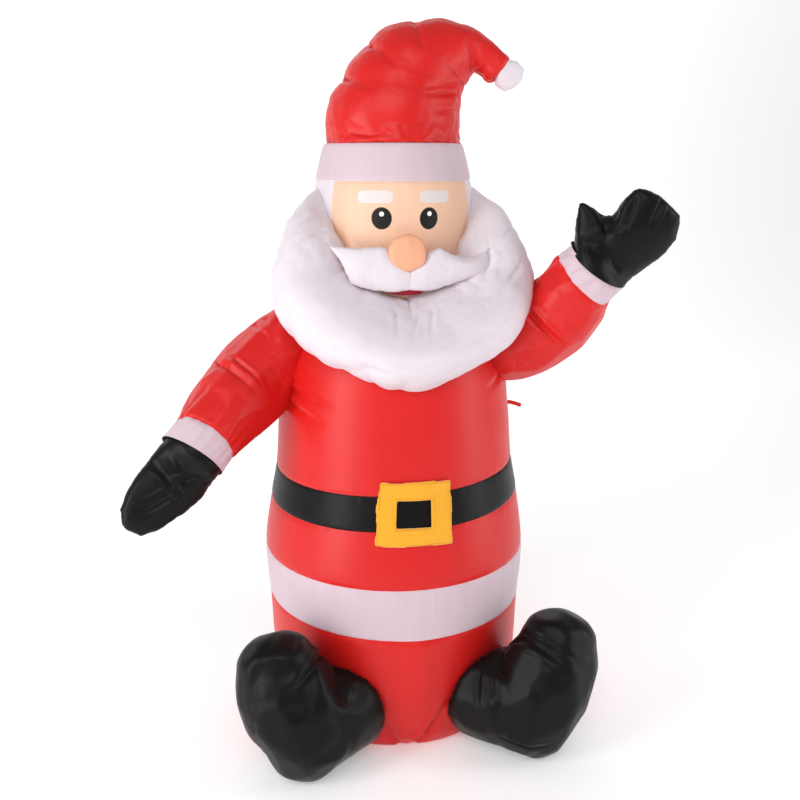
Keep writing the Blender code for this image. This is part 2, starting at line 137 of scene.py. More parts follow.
# Direction from the figure in degrees from its front, towards its left, then distance, height
# of the middle, width, height and watts. The last one is aimed at the backdrop.
SOFTBOXES = {
    "softbox_right": (-58, 2.2, 0.9, 0.7, 2.0, 27),
    "softbox_left": (68, 2.2, 0.9, 0.6, 2.0, 15),
    "softbox_top": (-12, 2.4, 2.3, 1.4, 1.0, 19),
    "softbox_back": (180, 1.9, 3.6, 3.0, 1.0, 48),
}
for name, (direction, distance, height, width, tall, watts) in SOFTBOXES.items():
    lamp = bpy.data.lights.new(name, "AREA")
    lamp.shape = "RECTANGLE"
    lamp.size, lamp.size_y, lamp.energy = width, tall, watts
    box = linked(name, lamp)
    angle = radians(direction)
    box.location = (distance * sin(angle), -distance * cos(angle), height)
    aim = Vector((0, 4.5, 1.6) if name == "softbox_back" else (0, 0, 0.6))
    box.rotation_euler = (aim - box.location).to_track_quat("-Z", "Y").to_euler()


# Coat. The round body is sewn of red nylon taffeta, with the belt and a white band let in as
# strips. Air holds it smooth; only the seams draw in, and the cloth puckers beside them.
FIGURE_HEIGHT = 1.2
PERCENT = FIGURE_HEIGHT / 100
UNDERSIDE_RADIUS = 16.2 * PERCENT
UNDERSIDE_ROUNDING = 2.2 * PERCENT
BAND = np.array([18.2, 26.0]) * PERCENT
BELT = np.array([34.0, 38.9]) * PERCENT
NECK = 63.2 * PERCENT
# (height, radius) up the coat, in percent
COAT_OUTLINE = [
    (2.2, 17.9), (8, 18.8), (18.2, 19.2), (26, 19.6), (34, 18.5), (38.9, 17.6), (47.1, 16.9),
    (55.4, 15.5), (63.2, 10.2),
]
# How far each strip is higher at the figure's left than on the axis
BELT_LIFT = 0.0065
BAND_LIFT = -0.0035
# Depth and half-width of the pinch that a seam makes, and how far a strip stands out
SEAM_DEPTH = 0.0014
SEAM_WIDTH = 0.0032
STRIP_PROUD = 0.0004
# Folds that fan out under the arms and up from the floor, from one point to another in
# percent, with the depth and width in millimetres and the way in which the cloth rises slowly
COAT_FOLDS = [
    ((-15.6, -6.0, 51.0), (-9.8, -13.2, 50.0), 8, 6, (0, 0, 1)),
    ((-15.9, -5.0, 49.3), (-11.0, -12.4, 47.4), 6, 6, (0, 0, 1)),
    ((-15.4, -6.4, 52.6), (-11.4, -11.2, 53.0), 3, 4, (0, 0, 1)),
    ((14.6, -6.6, 53.0), (10.0, -12.6, 51.0), 6, 6, (0, 0, 1)),
    ((-2.4, -17.7, 1.0), (-5.8, -17.6, 6.4), 9, 7, (1, 0, 0)),
    ((0.8, -17.9, 1.0), (5.4, -18.0, 8.4), 9, 7, (-1, 0, 0)),
]
COLUMNS = 400
# Spacing of the rows of vertices at a seam, and at most
SEAM_ROW, WIDEST_ROW = 0.0013, 0.0055
# Cloth measured round the coat, for the threads and the puckers
COAT_GIRTH = tau * 18.5 * PERCENT
# How many different creases there are beside a seam before they repeat
CREASES = 509


def through(keys, x):
    """Values at x on the smooth curve through keys, pairs of x and a value, in rising x."""
    knots = np.array([key[0] for key in keys], float)
    values = np.array([key[1] for key in keys], float)
    index = np.arange(len(knots))
    ahead, behind = np.minimum(index + 1, len(knots) - 1), np.maximum(index - 1, 0)
    slopes = ((values[ahead] - values[behind]).T / (knots[ahead] - knots[behind])).T
    i = np.clip(np.searchsorted(knots, x, side="right") - 1, 0, len(knots) - 2)
    span = knots[i + 1] - knots[i]
    t = np.clip((x - knots[i]) / span, 0, 1)
    if values.ndim > 1:
        span, t = span[..., None], t[..., None]
    curve = values[i] * ((1 + 2 * t) * (1 - t) ** 2) + values[i + 1] * (t * t * (3 - 2 * t))
    return curve + slopes[i] * (span * t * (1 - t) ** 2) - slopes[i + 1] * (span * t * t * (1 - t))


def puckers(along, away, pitch, depth, reach, seed):
    """How far cloth stands out beside a gathered seam, by distances along and away from it.

    Creases start at the seam about a pitch apart. Each leans its own way and dies out
    within about its reach.
    """
    random = np.random.default_rng(seed)
    limits = (-0.38, 0.38), (-0.6, 0.6), (0.3, 1.4), (0.15, 1.0), (0.15, 0.3)
    creases = np.array([random.uniform(*limit, CREASES) for limit in limits])
    nearest = np.floor(along / pitch + 0.5).astype(int)
    total = np.zeros(np.shape(away))
    for step in (-2, -1, 0, 1, 2):
        k = nearest + step
        shift, lean, length, force, width = creases[:, k % CREASES]
        off = np.abs(along - (k + shift) * pitch - lean * away)
        fade = np.clip(1 - np.abs(away) / (length * reach), 0, 1) ** 1.5
        total -= depth * force * fade * np.exp(-((off / (width * pitch)) ** 1.3))
    return total


def pinch(away):
    """How far a seam draws the cloth in, at a distance away from it."""
    return -SEAM_DEPTH * np.exp(-((away / SEAM_WIDTH) ** 2))


def rows_between(low, high, seams):
    """Heights from low to high, closer together beside the seams."""
    rows = [low]
    while rows[-1] < high:
        nearest = min(abs(rows[-1] - seam) for seam in seams)
        rows.append(rows[-1] + min(WIDEST_ROW, SEAM_ROW + nearest * 0.35))
    rows[-1] = high
    return np.array(rows)


def cloth_grid(name, points, spots, material, round_closed=True, tips=(None, None)):
    """Cloth through a grid of points, which closes round its columns if round_closed.

    spots are the places of the points on the flat cloth, in metres, one column more than
    points where it closes. tips are points that close its first and last row.
    """
    rows, columns = points.shape[:2]
    verts = [tuple(p) for p in points.reshape(-1, 3)]
    faces, places = [], []
    for j in range(rows - 1):
        for i in range(columns if round_closed else columns - 1):
            k = (i + 1) % columns
            faces.append((j * columns + i, j * columns + k, (j + 1) * columns + k, (j + 1) * columns + i))
            places += [spots[j, i], spots[j, i + 1], spots[j + 1, i + 1], spots[j + 1, i]]
    for row, tip in ((0, tips[0]), (rows - 1, tips[1])):
        if tip is None:
            continue
        verts.append(tuple(tip))
        for i in range(columns):
            faces.append((row * columns + i, row * columns + (i + 1) % columns, len(verts) - 1))
            places += [spots[row, i], spots[row, i + 1], spots[row, i]]
    mesh = bpy.data.meshes.new(name)
    mesh.from_pydata(verts, [], faces)
    lay_out(mesh, np.array(places))
    return finished(name, mesh, material)


def lay_out(mesh, places):
    """Gives a mesh its places on the flat cloth, one for each corner of its faces."""
    layer = mesh.uv_layers.new(name="cloth")
    layer.data.foreach_set("uv", places.astype(np.float32).ravel())


def finished(name, mesh, material):
    """An object of a mesh, smooth, with its faces pointing out."""
    solid = bmesh.new()
    solid.from_mesh(mesh)
    bmesh.ops.recalc_face_normals(solid, faces=solid.faces)
    solid.to_mesh(mesh)
    solid.free()
    mesh.shade_smooth()
    mesh.materials.append(material)
    return linked(name, mesh)


def dress(piece, node):
    """Puts a piece in the place of a solid."""
    piece.name = node + "_cloth"
    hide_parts(node)
    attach(piece, "root")


def points_of(piece):
    """The vertices of a piece, and the way each one faces."""
    mesh = piece.data
    mesh.update()
    points, facing = np.empty((2, len(mesh.vertices) * 3))
    mesh.vertices.foreach_get("co", points)
    mesh.vertex_normals.foreach_get("vector", facing)
    return points.reshape(-1, 3), facing.reshape(-1, 3)


def move_points(piece, points):
    piece.data.vertices.foreach_set("co", points.ravel())
    piece.data.update()


def crease(piece, folds):
    """Presses folds into a piece. Each is (start, end, depth, width, side).

    The ends are in percent, the depth and width in millimetres.
    A fold is deepest at its start and dies out at its end. side is the direction in which
    the cloth rises slowly; on the other side of the fold it rises steeply. Distances are
    measured flat, as seen from straight above the fold.
    """
    points, facing = points_of(piece)
    valleys, ridges = np.zeros(len(points)), np.zeros(len(points))
    for start, end, depth, width, side in folds:
        start, end, side = np.array(start) * PERCENT, np.array(end) * PERCENT, np.array(side)
        depth, width = depth / 1000, width / 1000
        above = sum(facing[np.linalg.norm(points - p, axis=1).argmin()] for p in (start, end))
        above /= np.linalg.norm(above)
        flat = points - start
        sunk = flat @ above
        flat -= sunk[:, None] * above
        line = end - start - (end - start) @ above * above
        place = flat @ line / (line @ line)
        share = np.clip(place, 0, 1)
        off = flat - share[:, None] * line
        away = np.linalg.norm(off, axis=1)
        gentle = off @ side > 0
        reach = np.where(gentle, 2.0 * width, 0.6 * width)
        fade = depth * (1 - share**2) * (facing @ above > 0.15) * (np.abs(sunk) < 0.05)
        beside = np.exp(-(((place - share) * np.linalg.norm(line) / width) ** 2))
        valleys = np.minimum(valleys, -fade * np.exp(-away / reach))
        ridge = np.exp(-(((away - 2.0 * width) / width) ** 2)) * gentle * beside
        ridges = np.maximum(ridges, 0.5 * fade * ridge)
    move_points(piece, points + facing * (valleys + ridges)[:, None])


def vector(tree, operation, *values):
    """The vector that comes out of an operation on vectors."""
    return add(tree, "ShaderNodeVectorMath", {"operation": operation}, dict(enumerate(values))).outputs[0]


def noise_value(tree, spot, scale, detail=2.0):
    """Noise from 0 to 1 at a spot."""
    given = {"Vector": spot, "Scale": scale, "Detail": detail}
    return add(tree, "ShaderNodeTexNoise", {}, given).outputs["Fac"]


def dye(tree, shader, code, value, darkest, lightest, top=1.0):
    """Gives a shader a colour that goes from dark to light with a value from 0 to top."""
    limits = {"Value": value, "From Max": top, "To Min": darkest, "To Max": lightest}
    tone = add(tree, "ShaderNodeMapRange", {}, limits).outputs[0]
    colour = {0: linear(code)[:3], "Scale": tone}
    scaled = add(tree, "ShaderNodeVectorMath", {"operation": "SCALE"}, colour)
    tree.links.new(scaled.outputs[0], shader.inputs["Base Color"])


def emboss(tree, shader, height, strength, distance):
    """Gives a shader bumps as high as distance."""
    bump = add(tree, "ShaderNodeBump", {}, {"Height": height, "Strength": strength, "Distance": distance})
    tree.links.new(bump.outputs[0], shader.inputs["Normal"])


def taffeta(name, code, roughness=0.4, gloss=0.32):
    """Nylon taffeta: thin plain-woven cloth with a satin gleam, its threads just visible.

    The threads of such cloth are 0.15 mm apart. They are drawn 2.4 mm apart, as coarse as
    they need to be to show.
    """
    thread_pitch = 0.0024
    made, tree, shader = new_material(name, {
        "Roughness": roughness,
        "IOR": 1.53,
        "Specular IOR Level": gloss,
        "Sheen Weight": 0.04,
        "Sheen Roughness": 0.35,
    })
    spot = add(tree, "ShaderNodeUVMap", {"uv_map": "cloth"}).outputs[0]
    bands = {"Vector": spot, "Scale": pi / 10 / thread_pitch}
    warp, weft = (add(tree, "ShaderNodeTexWave", {"bands_direction": way}, bands) for way in "XY")
    both = {0: warp.outputs["Fac"], 1: weft.outputs["Fac"]}
    weave = add(tree, "ShaderNodeMath", {"operation": "ADD"}, both)
    # Uneven dye and tension run along the warp, so they show as faint upright streaks
    streak = noise_value(tree, vector(tree, "MULTIPLY", spot, (90, 5, 1)), 1.0, 3.0)
    dye(tree, shader, code, streak, 0.93, 1.05)
    emboss(tree, shader, weave.outputs[0], 0.25, 0.00012)
    return made


def coat_surface(angle, height, proud):
    """Points of the coat, at angles from the front and heights on the coat before it tilts."""
    radius = through(COAT_OUTLINE, height / PERCENT) * PERCENT
    around_coat = np.mod(angle, tau) / tau * COAT_GIRTH
    for number, edge in enumerate((*BAND, *BELT)):
        away = height - edge
        creased = puckers(around_coat, away, pitch=0.019, depth=0.0008, reach=0.022, seed=number)
        radius += pinch(away) + creased
    # The floor presses larger folds into the foot
    radius += puckers(around_coat, height, pitch=0.045, depth=0.004, reach=0.07, seed=11)
    # Seams up the sides and up the back, and one up the front below the band
    for seam, top in ((pi / 2, NECK), (-pi / 2, NECK), (pi, NECK), (radians(1.8), BAND[0])):
        away = (np.mod(angle - seam + pi, tau) - pi) * radius
        below = 1 / (1 + np.exp((height - top) / 0.004))
        if top < NECK:
            # The two panels below the band meet in a ridge
            radius += below * 0.009 * np.exp(-np.abs(away) / 0.05)
        creased = puckers(height, away, pitch=0.021, depth=0.001, reach=0.03, seed=int(seam * 7) + 40)
        radius += below * (pinch(away) + creased)
    radius += proud
    tilt = [(0, 0), (BAND.mean(), BAND_LIFT), (BELT.mean(), BELT_LIFT), (NECK, 0)]
    x, y = radius * np.sin(angle), -radius * np.cos(angle)
    return np.stack([x, y, height + through(tilt, height) * np.sin(angle)], axis=-1)


def coat_strip(name, edges, material):
    """A strip let into the coat, its two edges turned in at the seams."""
    rows = rows_between(*edges, edges)
    angles, heights = np.meshgrid(np.linspace(0, tau, COLUMNS, endpoint=False), rows)
    proud = np.full_like(heights, STRIP_PROUD)
    proud[0] = proud[-1] = -STRIP_PROUD
    spots = np.stack(np.meshgrid(np.linspace(0, COAT_GIRTH, COLUMNS + 1), rows), axis=-1)
    return cloth_grid(name, coat_surface(angles, heights, proud), spots, material)


red_nylon = taffeta("red_nylon_taffeta", "D91B18")
white_nylon = taffeta("white_nylon_taffeta", "E6DCE3", 0.46)
black_nylon = taffeta("black_nylon_taffeta", "0D0B0B", 0.4, 0.16)
band_nylon = taffeta("band_nylon_taffeta", "D8C1CB", 0.5)

FOOT_RADIUS = COAT_OUTLINE[0][1] * PERCENT
rounding = [
    (UNDERSIDE_RADIUS + (FOOT_RADIUS - UNDERSIDE_RADIUS) * sin(a), UNDERSIDE_ROUNDING * (1 - cos(a)))
    for a in np.linspace(0, pi / 2, 6)[:-1]
]
rows = rows_between(UNDERSIDE_ROUNDING, NECK, (*BAND, *BELT))
angles, heights = np.meshgrid(np.linspace(0, tau, COLUMNS, endpoint=False), rows)
wall = coat_surface(angles, heights, 0)
foot = np.array([[(r * sin(a), -r * cos(a), z) for a in angles[0]] for r, z in rounding])
points = np.concatenate([foot, wall])
rows = np.concatenate([[z - UNDERSIDE_ROUNDING for r, z in rounding], rows])
spots = np.stack(np.meshgrid(np.linspace(0, COAT_GIRTH, COLUMNS + 1), rows), axis=-1)
coat = cloth_grid("coat", points, spots, red_nylon, tips=((0, 0, 0), (0, 0, NECK)))
crease(coat, COAT_FOLDS)
belt = coat_strip("belt", BELT, black_nylon)
coat_band = coat_strip("coat_band", BAND, band_nylon)

dress(coat, "coat")
dress(belt, "belt")
dress(coat_band, "coat_band")


# Buckle. A square frame cut from thick yellow felt and sewn down on the belt. It isn't quite
# square, its edges wave a little and its corners are soft.
BUCKLE_WIDTH, BUCKLE_HEIGHT = 0.122, 0.104
WINDOW_WIDTH, WINDOW_HEIGHT = 0.054, 0.042
BUCKLE_THICKNESS = 0.0034
BUCKLE_TURN = radians(2.2)
BUCKLE_CELL = 0.0015
# The coat's radius behind the buckle's middle
BELT_RADIUS = through(COAT_OUTLINE, 36.5) * PERCENT


def felt(name, code):
    """Needled polyester felt: matt, with short matted fibres and a cloudy surface."""
    made, tree, shader = new_material(name, {"Roughness": 0.95, "Sheen Weight": 0.4})
    spot = add(tree, "ShaderNodeTexCoord").outputs["Object"]
    # Fibres about a millimetre apart, and clumps of about a centimetre
    both = {0: noise_value(tree, spot, 900.0, 4.0), 1: noise_value(tree, spot, 90.0)}
    cloud = add(tree, "ShaderNodeMath", {"operation": "ADD"}, both).outputs[0]
    dye(tree, shader, code, cloud, 0.86, 1.08, top=2.0)
    emboss(tree, shader, cloud, 0.5, 0.0004)
    return made


def rounded_box(x, z, half_width, half_height, corner):
    """Distance outside a box with rounded corners, negative inside it."""
    dx, dz = np.abs(x) - half_width + corner, np.abs(z) - half_height + corner
    outside = np.hypot(np.maximum(dx, 0), np.maximum(dz, 0))
    return outside + np.minimum(np.maximum(dx, dz), 0) - corner


def on_belt(x, z, out):
    """Points on the belt at places of the buckle, measured from its middle."""
    x, z = x * cos(BUCKLE_TURN) + z * sin(BUCKLE_TURN), z * cos(BUCKLE_TURN) - x * sin(BUCKLE_TURN)
    return coat_surface(x / BELT_RADIUS, BELT.mean() + z, out)


def buckle_mesh(name, material):
    """The frame as two layers of a fine grid, pulled together at its edges."""
    across = np.arange(-BUCKLE_WIDTH / 2 - 0.003, BUCKLE_WIDTH / 2 + 0.003, BUCKLE_CELL)
    up = np.arange(-BUCKLE_HEIGHT / 2 - 0.003, BUCKLE_HEIGHT / 2 + 0.003, BUCKLE_CELL)
    x, z = np.meshgrid(across, up)
    wave = 0.0012 * np.sin(z * 95 + 0.6) * np.sign(x) + 0.0008 * np.sin(x * 120 + z * 40)
    wavy_x, wavy_z = x - wave, z - 0.0009 * np.sin(x * 80 + 1.0)
    outer = rounded_box(wavy_x, wavy_z, BUCKLE_WIDTH / 2, BUCKLE_HEIGHT / 2, 0.004)
    inner = -rounded_box(x + 0.001, z + 0.0005, WINDOW_WIDTH / 2, WINDOW_HEIGHT / 2, 0.0015)
    kept = np.maximum(outer, inner) < 0
    solid = bmesh.new()
    grid = {(j, i): solid.verts.new((x[j, i], 0, z[j, i])) for j, i in np.argwhere(kept)}
    for j, i in grid:
        corners = [grid.get(cell) for cell in ((j, i), (j, i + 1), (j + 1, i + 1), (j + 1, i))]
        if all(corners):
            solid.faces.new(corners)
    bmesh.ops.delete(solid, geom=[v for v in solid.verts if not v.link_faces], context="VERTS")
    for v in solid.verts:
        if v.is_boundary:
            near = [e.other_vert(v).co for e in v.link_edges if e.is_boundary]
            v.co = v.co * 0.5 + (near[0] + near[1]) * 0.25
    made = bmesh.ops.extrude_face_region(solid, geom=list(solid.faces), use_keep_orig=True)
    behind = {v for v in made["geom"] if isinstance(v, bmesh.types.BMVert)}
    x, z = np.array([v.co.x for v in solid.verts]), np.array([v.co.z for v in solid.verts])
    to_window = np.maximum(np.abs(x) - WINDOW_WIDTH / 2, np.abs(z) - WINDOW_HEIGHT / 2)
    to_edge = np.minimum(BUCKLE_WIDTH / 2 - np.abs(x), BUCKLE_HEIGHT / 2 - np.abs(z))
    soft = np.clip(np.minimum(to_edge, to_window) / 0.002, 0.35, 1)
    out = 0.0018 + 0.0008 * (1 + np.sin(x * 70 + z * 55)) * (1 - soft * 0.4)
    out += BUCKLE_THICKNESS * soft * np.array([v not in behind for v in solid.verts])
    for v, place in zip(solid.verts, on_belt(x, z, out)):
        v.co = place
    mesh = bpy.data.meshes.new(name)
    solid.to_mesh(mesh)
    solid.free()
    return finished(name, mesh, material)


yellow_felt = felt("yellow_felt", "F7AE22")
buckle = buckle_mesh("buckle", yellow_felt)
dress(buckle, "buckle")


def stitch_tree():
    """Geometry Nodes that lay one rounded stitch after another along a path."""
    tree = bpy.data.node_groups.new("stitches_along_a_path", "GeometryNodeTree")
    sizes = {"Pitch": "Float", "Length": "Float", "Width": "Float"}
    for name, kind in {"Path": "Geometry", **sizes, "Thread": "Material"}.items():
        tree.interface.new_socket(name, in_out="INPUT", socket_type="NodeSocket" + kind)
    tree.interface.new_socket("Stitches", in_out="OUTPUT", socket_type="NodeSocketGeometry")
    given = add(tree, "NodeGroupInput").outputs

    def node(kind, settings=None, **inputs):
        return add(tree, kind, settings, inputs).outputs[0]

    path = node("GeometryNodeMeshToCurve", Mesh=given["Path"])
    spaced = node("GeometryNodeResampleCurve", {"mode": "LENGTH"}, Curve=path, Length=given["Pitch"])
    way = node("GeometryNodeInputTangent")
    turned = node("FunctionNodeAlignRotationToVector", {"axis": "Z"}, Vector=way)
    ball = node("GeometryNodeMeshUVSphere", Segments=8, Rings=6, Radius=0.5)
    shape = node("ShaderNodeCombineXYZ", X=given["Width"], Y=given["Width"], Z=given["Length"])
    stitch = node("GeometryNodeTransform", Geometry=ball, Scale=shape)
    laid = node("GeometryNodeInstanceOnPoints", Points=spaced, Instance=stitch, Rotation=turned)
    real = node("GeometryNodeRealizeInstances", Geometry=laid)
    dyed = node("GeometryNodeSetMaterial", Geometry=real, Material=given["Thread"])
    add(tree, "NodeGroupOutput", {}, {"Stitches": dyed})
    return tree


def stitches(name, path, pitch, length, width, thread):
    """Stitches along a closed path of points."""
    mesh = bpy.data.meshes.new(name)
    count = len(path)
    mesh.from_pydata([tuple(p) for p in path], [(i, (i + 1) % count) for i in range(count)], [])
    made = linked(name, mesh)
    sewing = made.modifiers.new("sewing", "NODES")
    sewing.node_group = stitch_tree()
    given = {"Pitch": pitch, "Length": length, "Width": width, "Thread": thread}
    for socket in sewing.node_group.interface.items_tree:
        if socket.in_out == "INPUT" and socket.name in given:
            sewing[socket.identifier] = given[socket.name]
    bake(made)
    return made


def bake(piece):
    """Turns a piece with modifiers into a plain mesh."""
    whole = bpy.data.meshes.new_from_object(piece.evaluated_get(bpy.context.evaluated_depsgraph_get()))
    piece.modifiers.clear()
    piece.data = whole
    whole.shade_smooth()


# Polyester thread in the felt's colour, a little darker, in stitches about 3 mm long
thread, tree, shader = new_material("yellow_polyester_thread", {"Roughness": 0.6})
spot = add(tree, "ShaderNodeTexCoord").outputs["Object"]
dye(tree, shader, "D98F14", noise_value(tree, spot, 1500.0), 0.8, 1.1)
STITCH_INSET = 0.0035
for name, half_x, half_z in (
    ("buckle_outer_stitches", BUCKLE_WIDTH / 2 - STITCH_INSET, BUCKLE_HEIGHT / 2 - STITCH_INSET),
    ("buckle_window_stitches", WINDOW_WIDTH / 2 + STITCH_INSET, WINDOW_HEIGHT / 2 + STITCH_INSET),
):
    ring = np.array([(-half_x, -half_z), (half_x, -half_z), (half_x, half_z), (-half_x, half_z)])
    path = np.concatenate([
        np.linspace(start, end, 24, endpoint=False) for start, end in zip(ring, np.roll(ring, -1, axis=0))
    ])
    path = on_belt(path[:, 0], path[:, 1], BUCKLE_THICKNESS + 0.0026)
    line = stitches(name, path, pitch=0.0042, length=0.003, width=0.0009, thread=thread)
    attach(line, "root")


# Head, face and hat trim. The head is white nylon with a skin-coloured panel let in at the
# front, and the wide white trim of the hat is sewn to its top edge. Eyes, brows and lips are
# printed flat on the panel.
TRIM = np.array([79.3, 84.1]) * PERCENT
FACE_REACH = 10.7 * PERCENT
HEAD_OUTLINE = [(63.2, 10.0), (75, 11.2), (79.3, 10.8), (84.1, 9.6)]
FACE_RADIUS = 11.0 * PERCENT
# Print on the panel: distance round it from the middle, height, half-width and half-height in
# percent, then the ink, and the radius of its corners in metres where it isn't an ellipse
PRINT = [
    (-4.05, 77.35, 2.3, 0.78, "E6DDDA", 0.0085),
    (3.93, 77.35, 2.2, 0.76, "E6DDDA", 0.0085),
    (-3.2, 74.65, 1.32, 1.42, "12100F", None),
    (3.0, 74.6, 1.28, 1.42, "12100F", None),
    (-3.19, 75.2, 0.31, 0.31, "FFFFFF", None),
    (3.05, 75.2, 0.31, 0.31, "FFFFFF", None),
    (0.35, 65.1, 2.8, 0.6, "E23E50", None),
]


def head_surface(angle, height, proud):
    """Points of the head and trim, at angles from the front and at heights."""
    radius = through(HEAD_OUTLINE, height / PERCENT) * PERCENT
    around_head = np.mod(angle, tau) * FACE_RADIUS
    for number, edge in enumerate(TRIM):
        away = height - edge
        creased = puckers(around_head, away, pitch=0.02, depth=0.0011, reach=0.04, seed=number + 20)
        radius += pinch(away) + creased
    for seam in (pi / 2, -pi / 2, pi):
        away = (np.mod(angle - seam + pi, tau) - pi) * radius
        creased = puckers(height, away, pitch=0.02, depth=0.001, reach=0.025, seed=int(seam * 7) + 60)
        radius += pinch(away) + creased
    radius += proud
    return np.stack([radius * np.sin(angle), -radius * np.cos(angle), height], axis=-1)


def printed_face(name, code):
    """Skin-coloured taffeta with eyes, brows and lips printed on it."""
    made = taffeta(name, code, 0.45)
    tree = made.node_tree
    spot = add(tree, "ShaderNodeUVMap", {"uv_map": "cloth"}).outputs[0]
    dyed = tree.nodes["Principled BSDF"].inputs["Base Color"]
    for x, z, half_x, half_z, ink, corner in PRINT:
        half_x, half_z = half_x * PERCENT, half_z * PERCENT
        off = vector(tree, "SUBTRACT", spot, (x * PERCENT, z * PERCENT, 0))
        if corner is None:
            off, edge, soft = vector(tree, "DIVIDE", off, (half_x, half_z, 1)), 1.0, 0.05
        else:
            inner = (half_x - corner, half_z - corner, 0)
            off = vector(tree, "SUBTRACT", vector(tree, "ABSOLUTE", off), inner)
            off, edge, soft = vector(tree, "MAXIMUM", off, (0, 0, 0)), corner, 0.0008
        size = add(tree, "ShaderNodeVectorMath", {"operation": "LENGTH"}, {0: off}).outputs["Value"]
        limits = {"From Min": edge - soft, "From Max": edge + soft, "To Min": 1.0, "To Max": 0.0}
        smooth = {"interpolation_type": "SMOOTHSTEP"}
        mask = add(tree, "ShaderNodeMapRange", smooth, {"Value": size, **limits})
        mixed = add(tree, "ShaderNodeMix", {"data_type": "RGBA"}, {"Factor": mask.outputs[0]})
        tree.links.new(dyed.links[0].from_socket, mixed.inputs["A"])
        mixed.inputs["B"].default_value = linear(ink)
        tree.links.new(mixed.outputs["Result"], dyed)
    return made


def head_part(name, low, high, reach, proud, material):
    """Part of the head between two heights, all round or as far as reach each way."""
    rows = rows_between(low, high, TRIM)
    closed = reach is None
    angle = np.linspace(0, tau, 280, endpoint=False) if closed else np.linspace(-reach, reach, 120)
    angles, heights = np.meshgrid(angle, rows)
    stand = np.full_like(heights, proud)
    if proud:
        stand[0] = stand[-1] = -proud
        if not closed:
            stand[:, 0] = stand[:, -1] = -proud
    ends = np.append(angle, tau) if closed else angle
    spots = np.stack(np.meshgrid(ends * FACE_RADIUS, rows), axis=-1)
    tips = ((0, 0, low), (0, 0, high)) if closed and not proud else (None, None)
    return cloth_grid(name, head_surface(angles, heights, stand), spots, material, closed, tips)


head = head_part("head", NECK, TRIM[0] + 0.002, None, 0, white_nylon)
printed_skin = printed_face("printed_skin_taffeta", "F6C9AB")
face = head_part("face", NECK, TRIM[0] - 0.0005, FACE_REACH / FACE_RADIUS, 0.0006, printed_skin)
trim = head_part("hat_trim", TRIM[0], TRIM[1], None, 0.0006, band_nylon)
dress(head, "head")
dress(face, "face")
dress(trim, "hat_trim")


# Nose and moustache. Each is a small bag of two like panels, sewn edge to edge and sewn on
# by its back. Air makes it a cushion, and its seam, which can't stretch, puckers the rim.
def inflate(spots, triangles, sewn):
    """Height of an air-filled panel over its flat shape, which is held down where sewn.

    It solves for a soap film under pressure, and the root of that gives a strip a round
    cross-section.
    """
    count = len(spots)
    stiffness, load = np.zeros((count, count)), np.zeros(count)
    for face in triangles:
        p = spots[list(face)]
        edges = np.array([p[2] - p[1], p[0] - p[2], p[1] - p[0]])
        area = abs(edges[0][0] * edges[1][1] - edges[0][1] * edges[1][0]) / 2
        if area < 1e-12:
            continue
        stiffness[np.ix_(face, face)] += edges @ edges.T / (4 * area)
        load[list(face)] += area / 3
    free = ~sewn
    film = np.zeros(count)
    film[free] = np.linalg.solve(stiffness[np.ix_(free, free)], load[free])
    return np.sqrt(2 * np.maximum(film, 0))


def resample(outline, step, open_side):
    """Points at even steps round a closed outline, and which of them lie on its open side."""
    points, is_open = [], []
    count = len(outline)
    for i in range(count):
        start, end = np.array(outline[i]), np.array(outline[(i + 1) % count])
        pieces = max(1, round(np.linalg.norm(end - start) / step))
        points += [start + (end - start) * k / pieces for k in range(pieces)]
        is_open += [i == open_side and k > 0 for k in range(pieces)]
    return np.array(points), np.array(is_open)


def bag(name, outline, place, material, cell, open_side=None, plump=0.5):
    """Two panels cut to an outline and sewn together, with a little air between them.

    outline is in metres on the panel, place is (origin, across, up) of the panel. An open
    side isn't sewn, and there the bag is already full.
    """
    rim, on_open = resample(outline, cell, open_side)
    low, high = rim.min(axis=0), rim.max(axis=0)
    grid = []
    for j, y in enumerate(np.arange(low[1], high[1], cell * sqrt(3) / 2)):
        for x in np.arange(low[0] + (j % 2) * cell / 2, high[0], cell):
            if np.min(np.hypot(rim[:, 0] - x, rim[:, 1] - y)) > cell * 0.7:
                grid.append((x, y))
    spots = [Vector(p) for p in rim] + [Vector(p) for p in grid]
    edges = [(i, (i + 1) % len(rim)) for i in range(len(rim))]
    flat, _, faces, origin, _, _ = delaunay_2d_cdt(spots, edges, [], 1, 1e-6)
    used = sorted({i for face in faces for i in face})
    place_of = {old: new for new, old in enumerate(used)}
    flat = np.array([tuple(flat[i]) for i in used])
    faces = [[place_of[i] for i in face] for face in faces]
    sources = np.array([origin[i][0] if origin[i] else len(rim) for i in used])
    on_rim = sources < len(rim)
    opening = on_rim & np.append(on_open, False)[np.minimum(sources, len(rim))]
    sewn = on_rim & ~opening
    if open_side is not None:
        plump = plump + (1 - plump) * np.exp(-((np.maximum(flat[:, 1], 0) / 0.02) ** 2))
    height = inflate(flat, faces, sewn) * plump
    start, across, up = (np.array(v, float) for v in place)
    middle = start + flat[:, :1] * across + flat[:, 1:] * up
    bulge = height[:, None] * np.cross(across, up)
    # The second panel shares the sewn points of the first
    twin = np.where(sewn, np.arange(len(flat)), len(flat) - 1 + np.cumsum(~sewn))
    mesh = bpy.data.meshes.new(name)
    verts = np.concatenate([middle + bulge, (middle - bulge)[~sewn]])
    mesh.from_pydata(verts.tolist(), [], faces + [[int(twin[i]) for i in reversed(f)] for f in faces])
    both = np.concatenate([flat, flat[~sewn]])
    lay_out(mesh, both[[loop.vertex_index for loop in mesh.loops]])
    held = np.nonzero(opening)[0]
    return finished(name, mesh, material), np.nonzero(sewn)[0], [*held, *twin[held]]


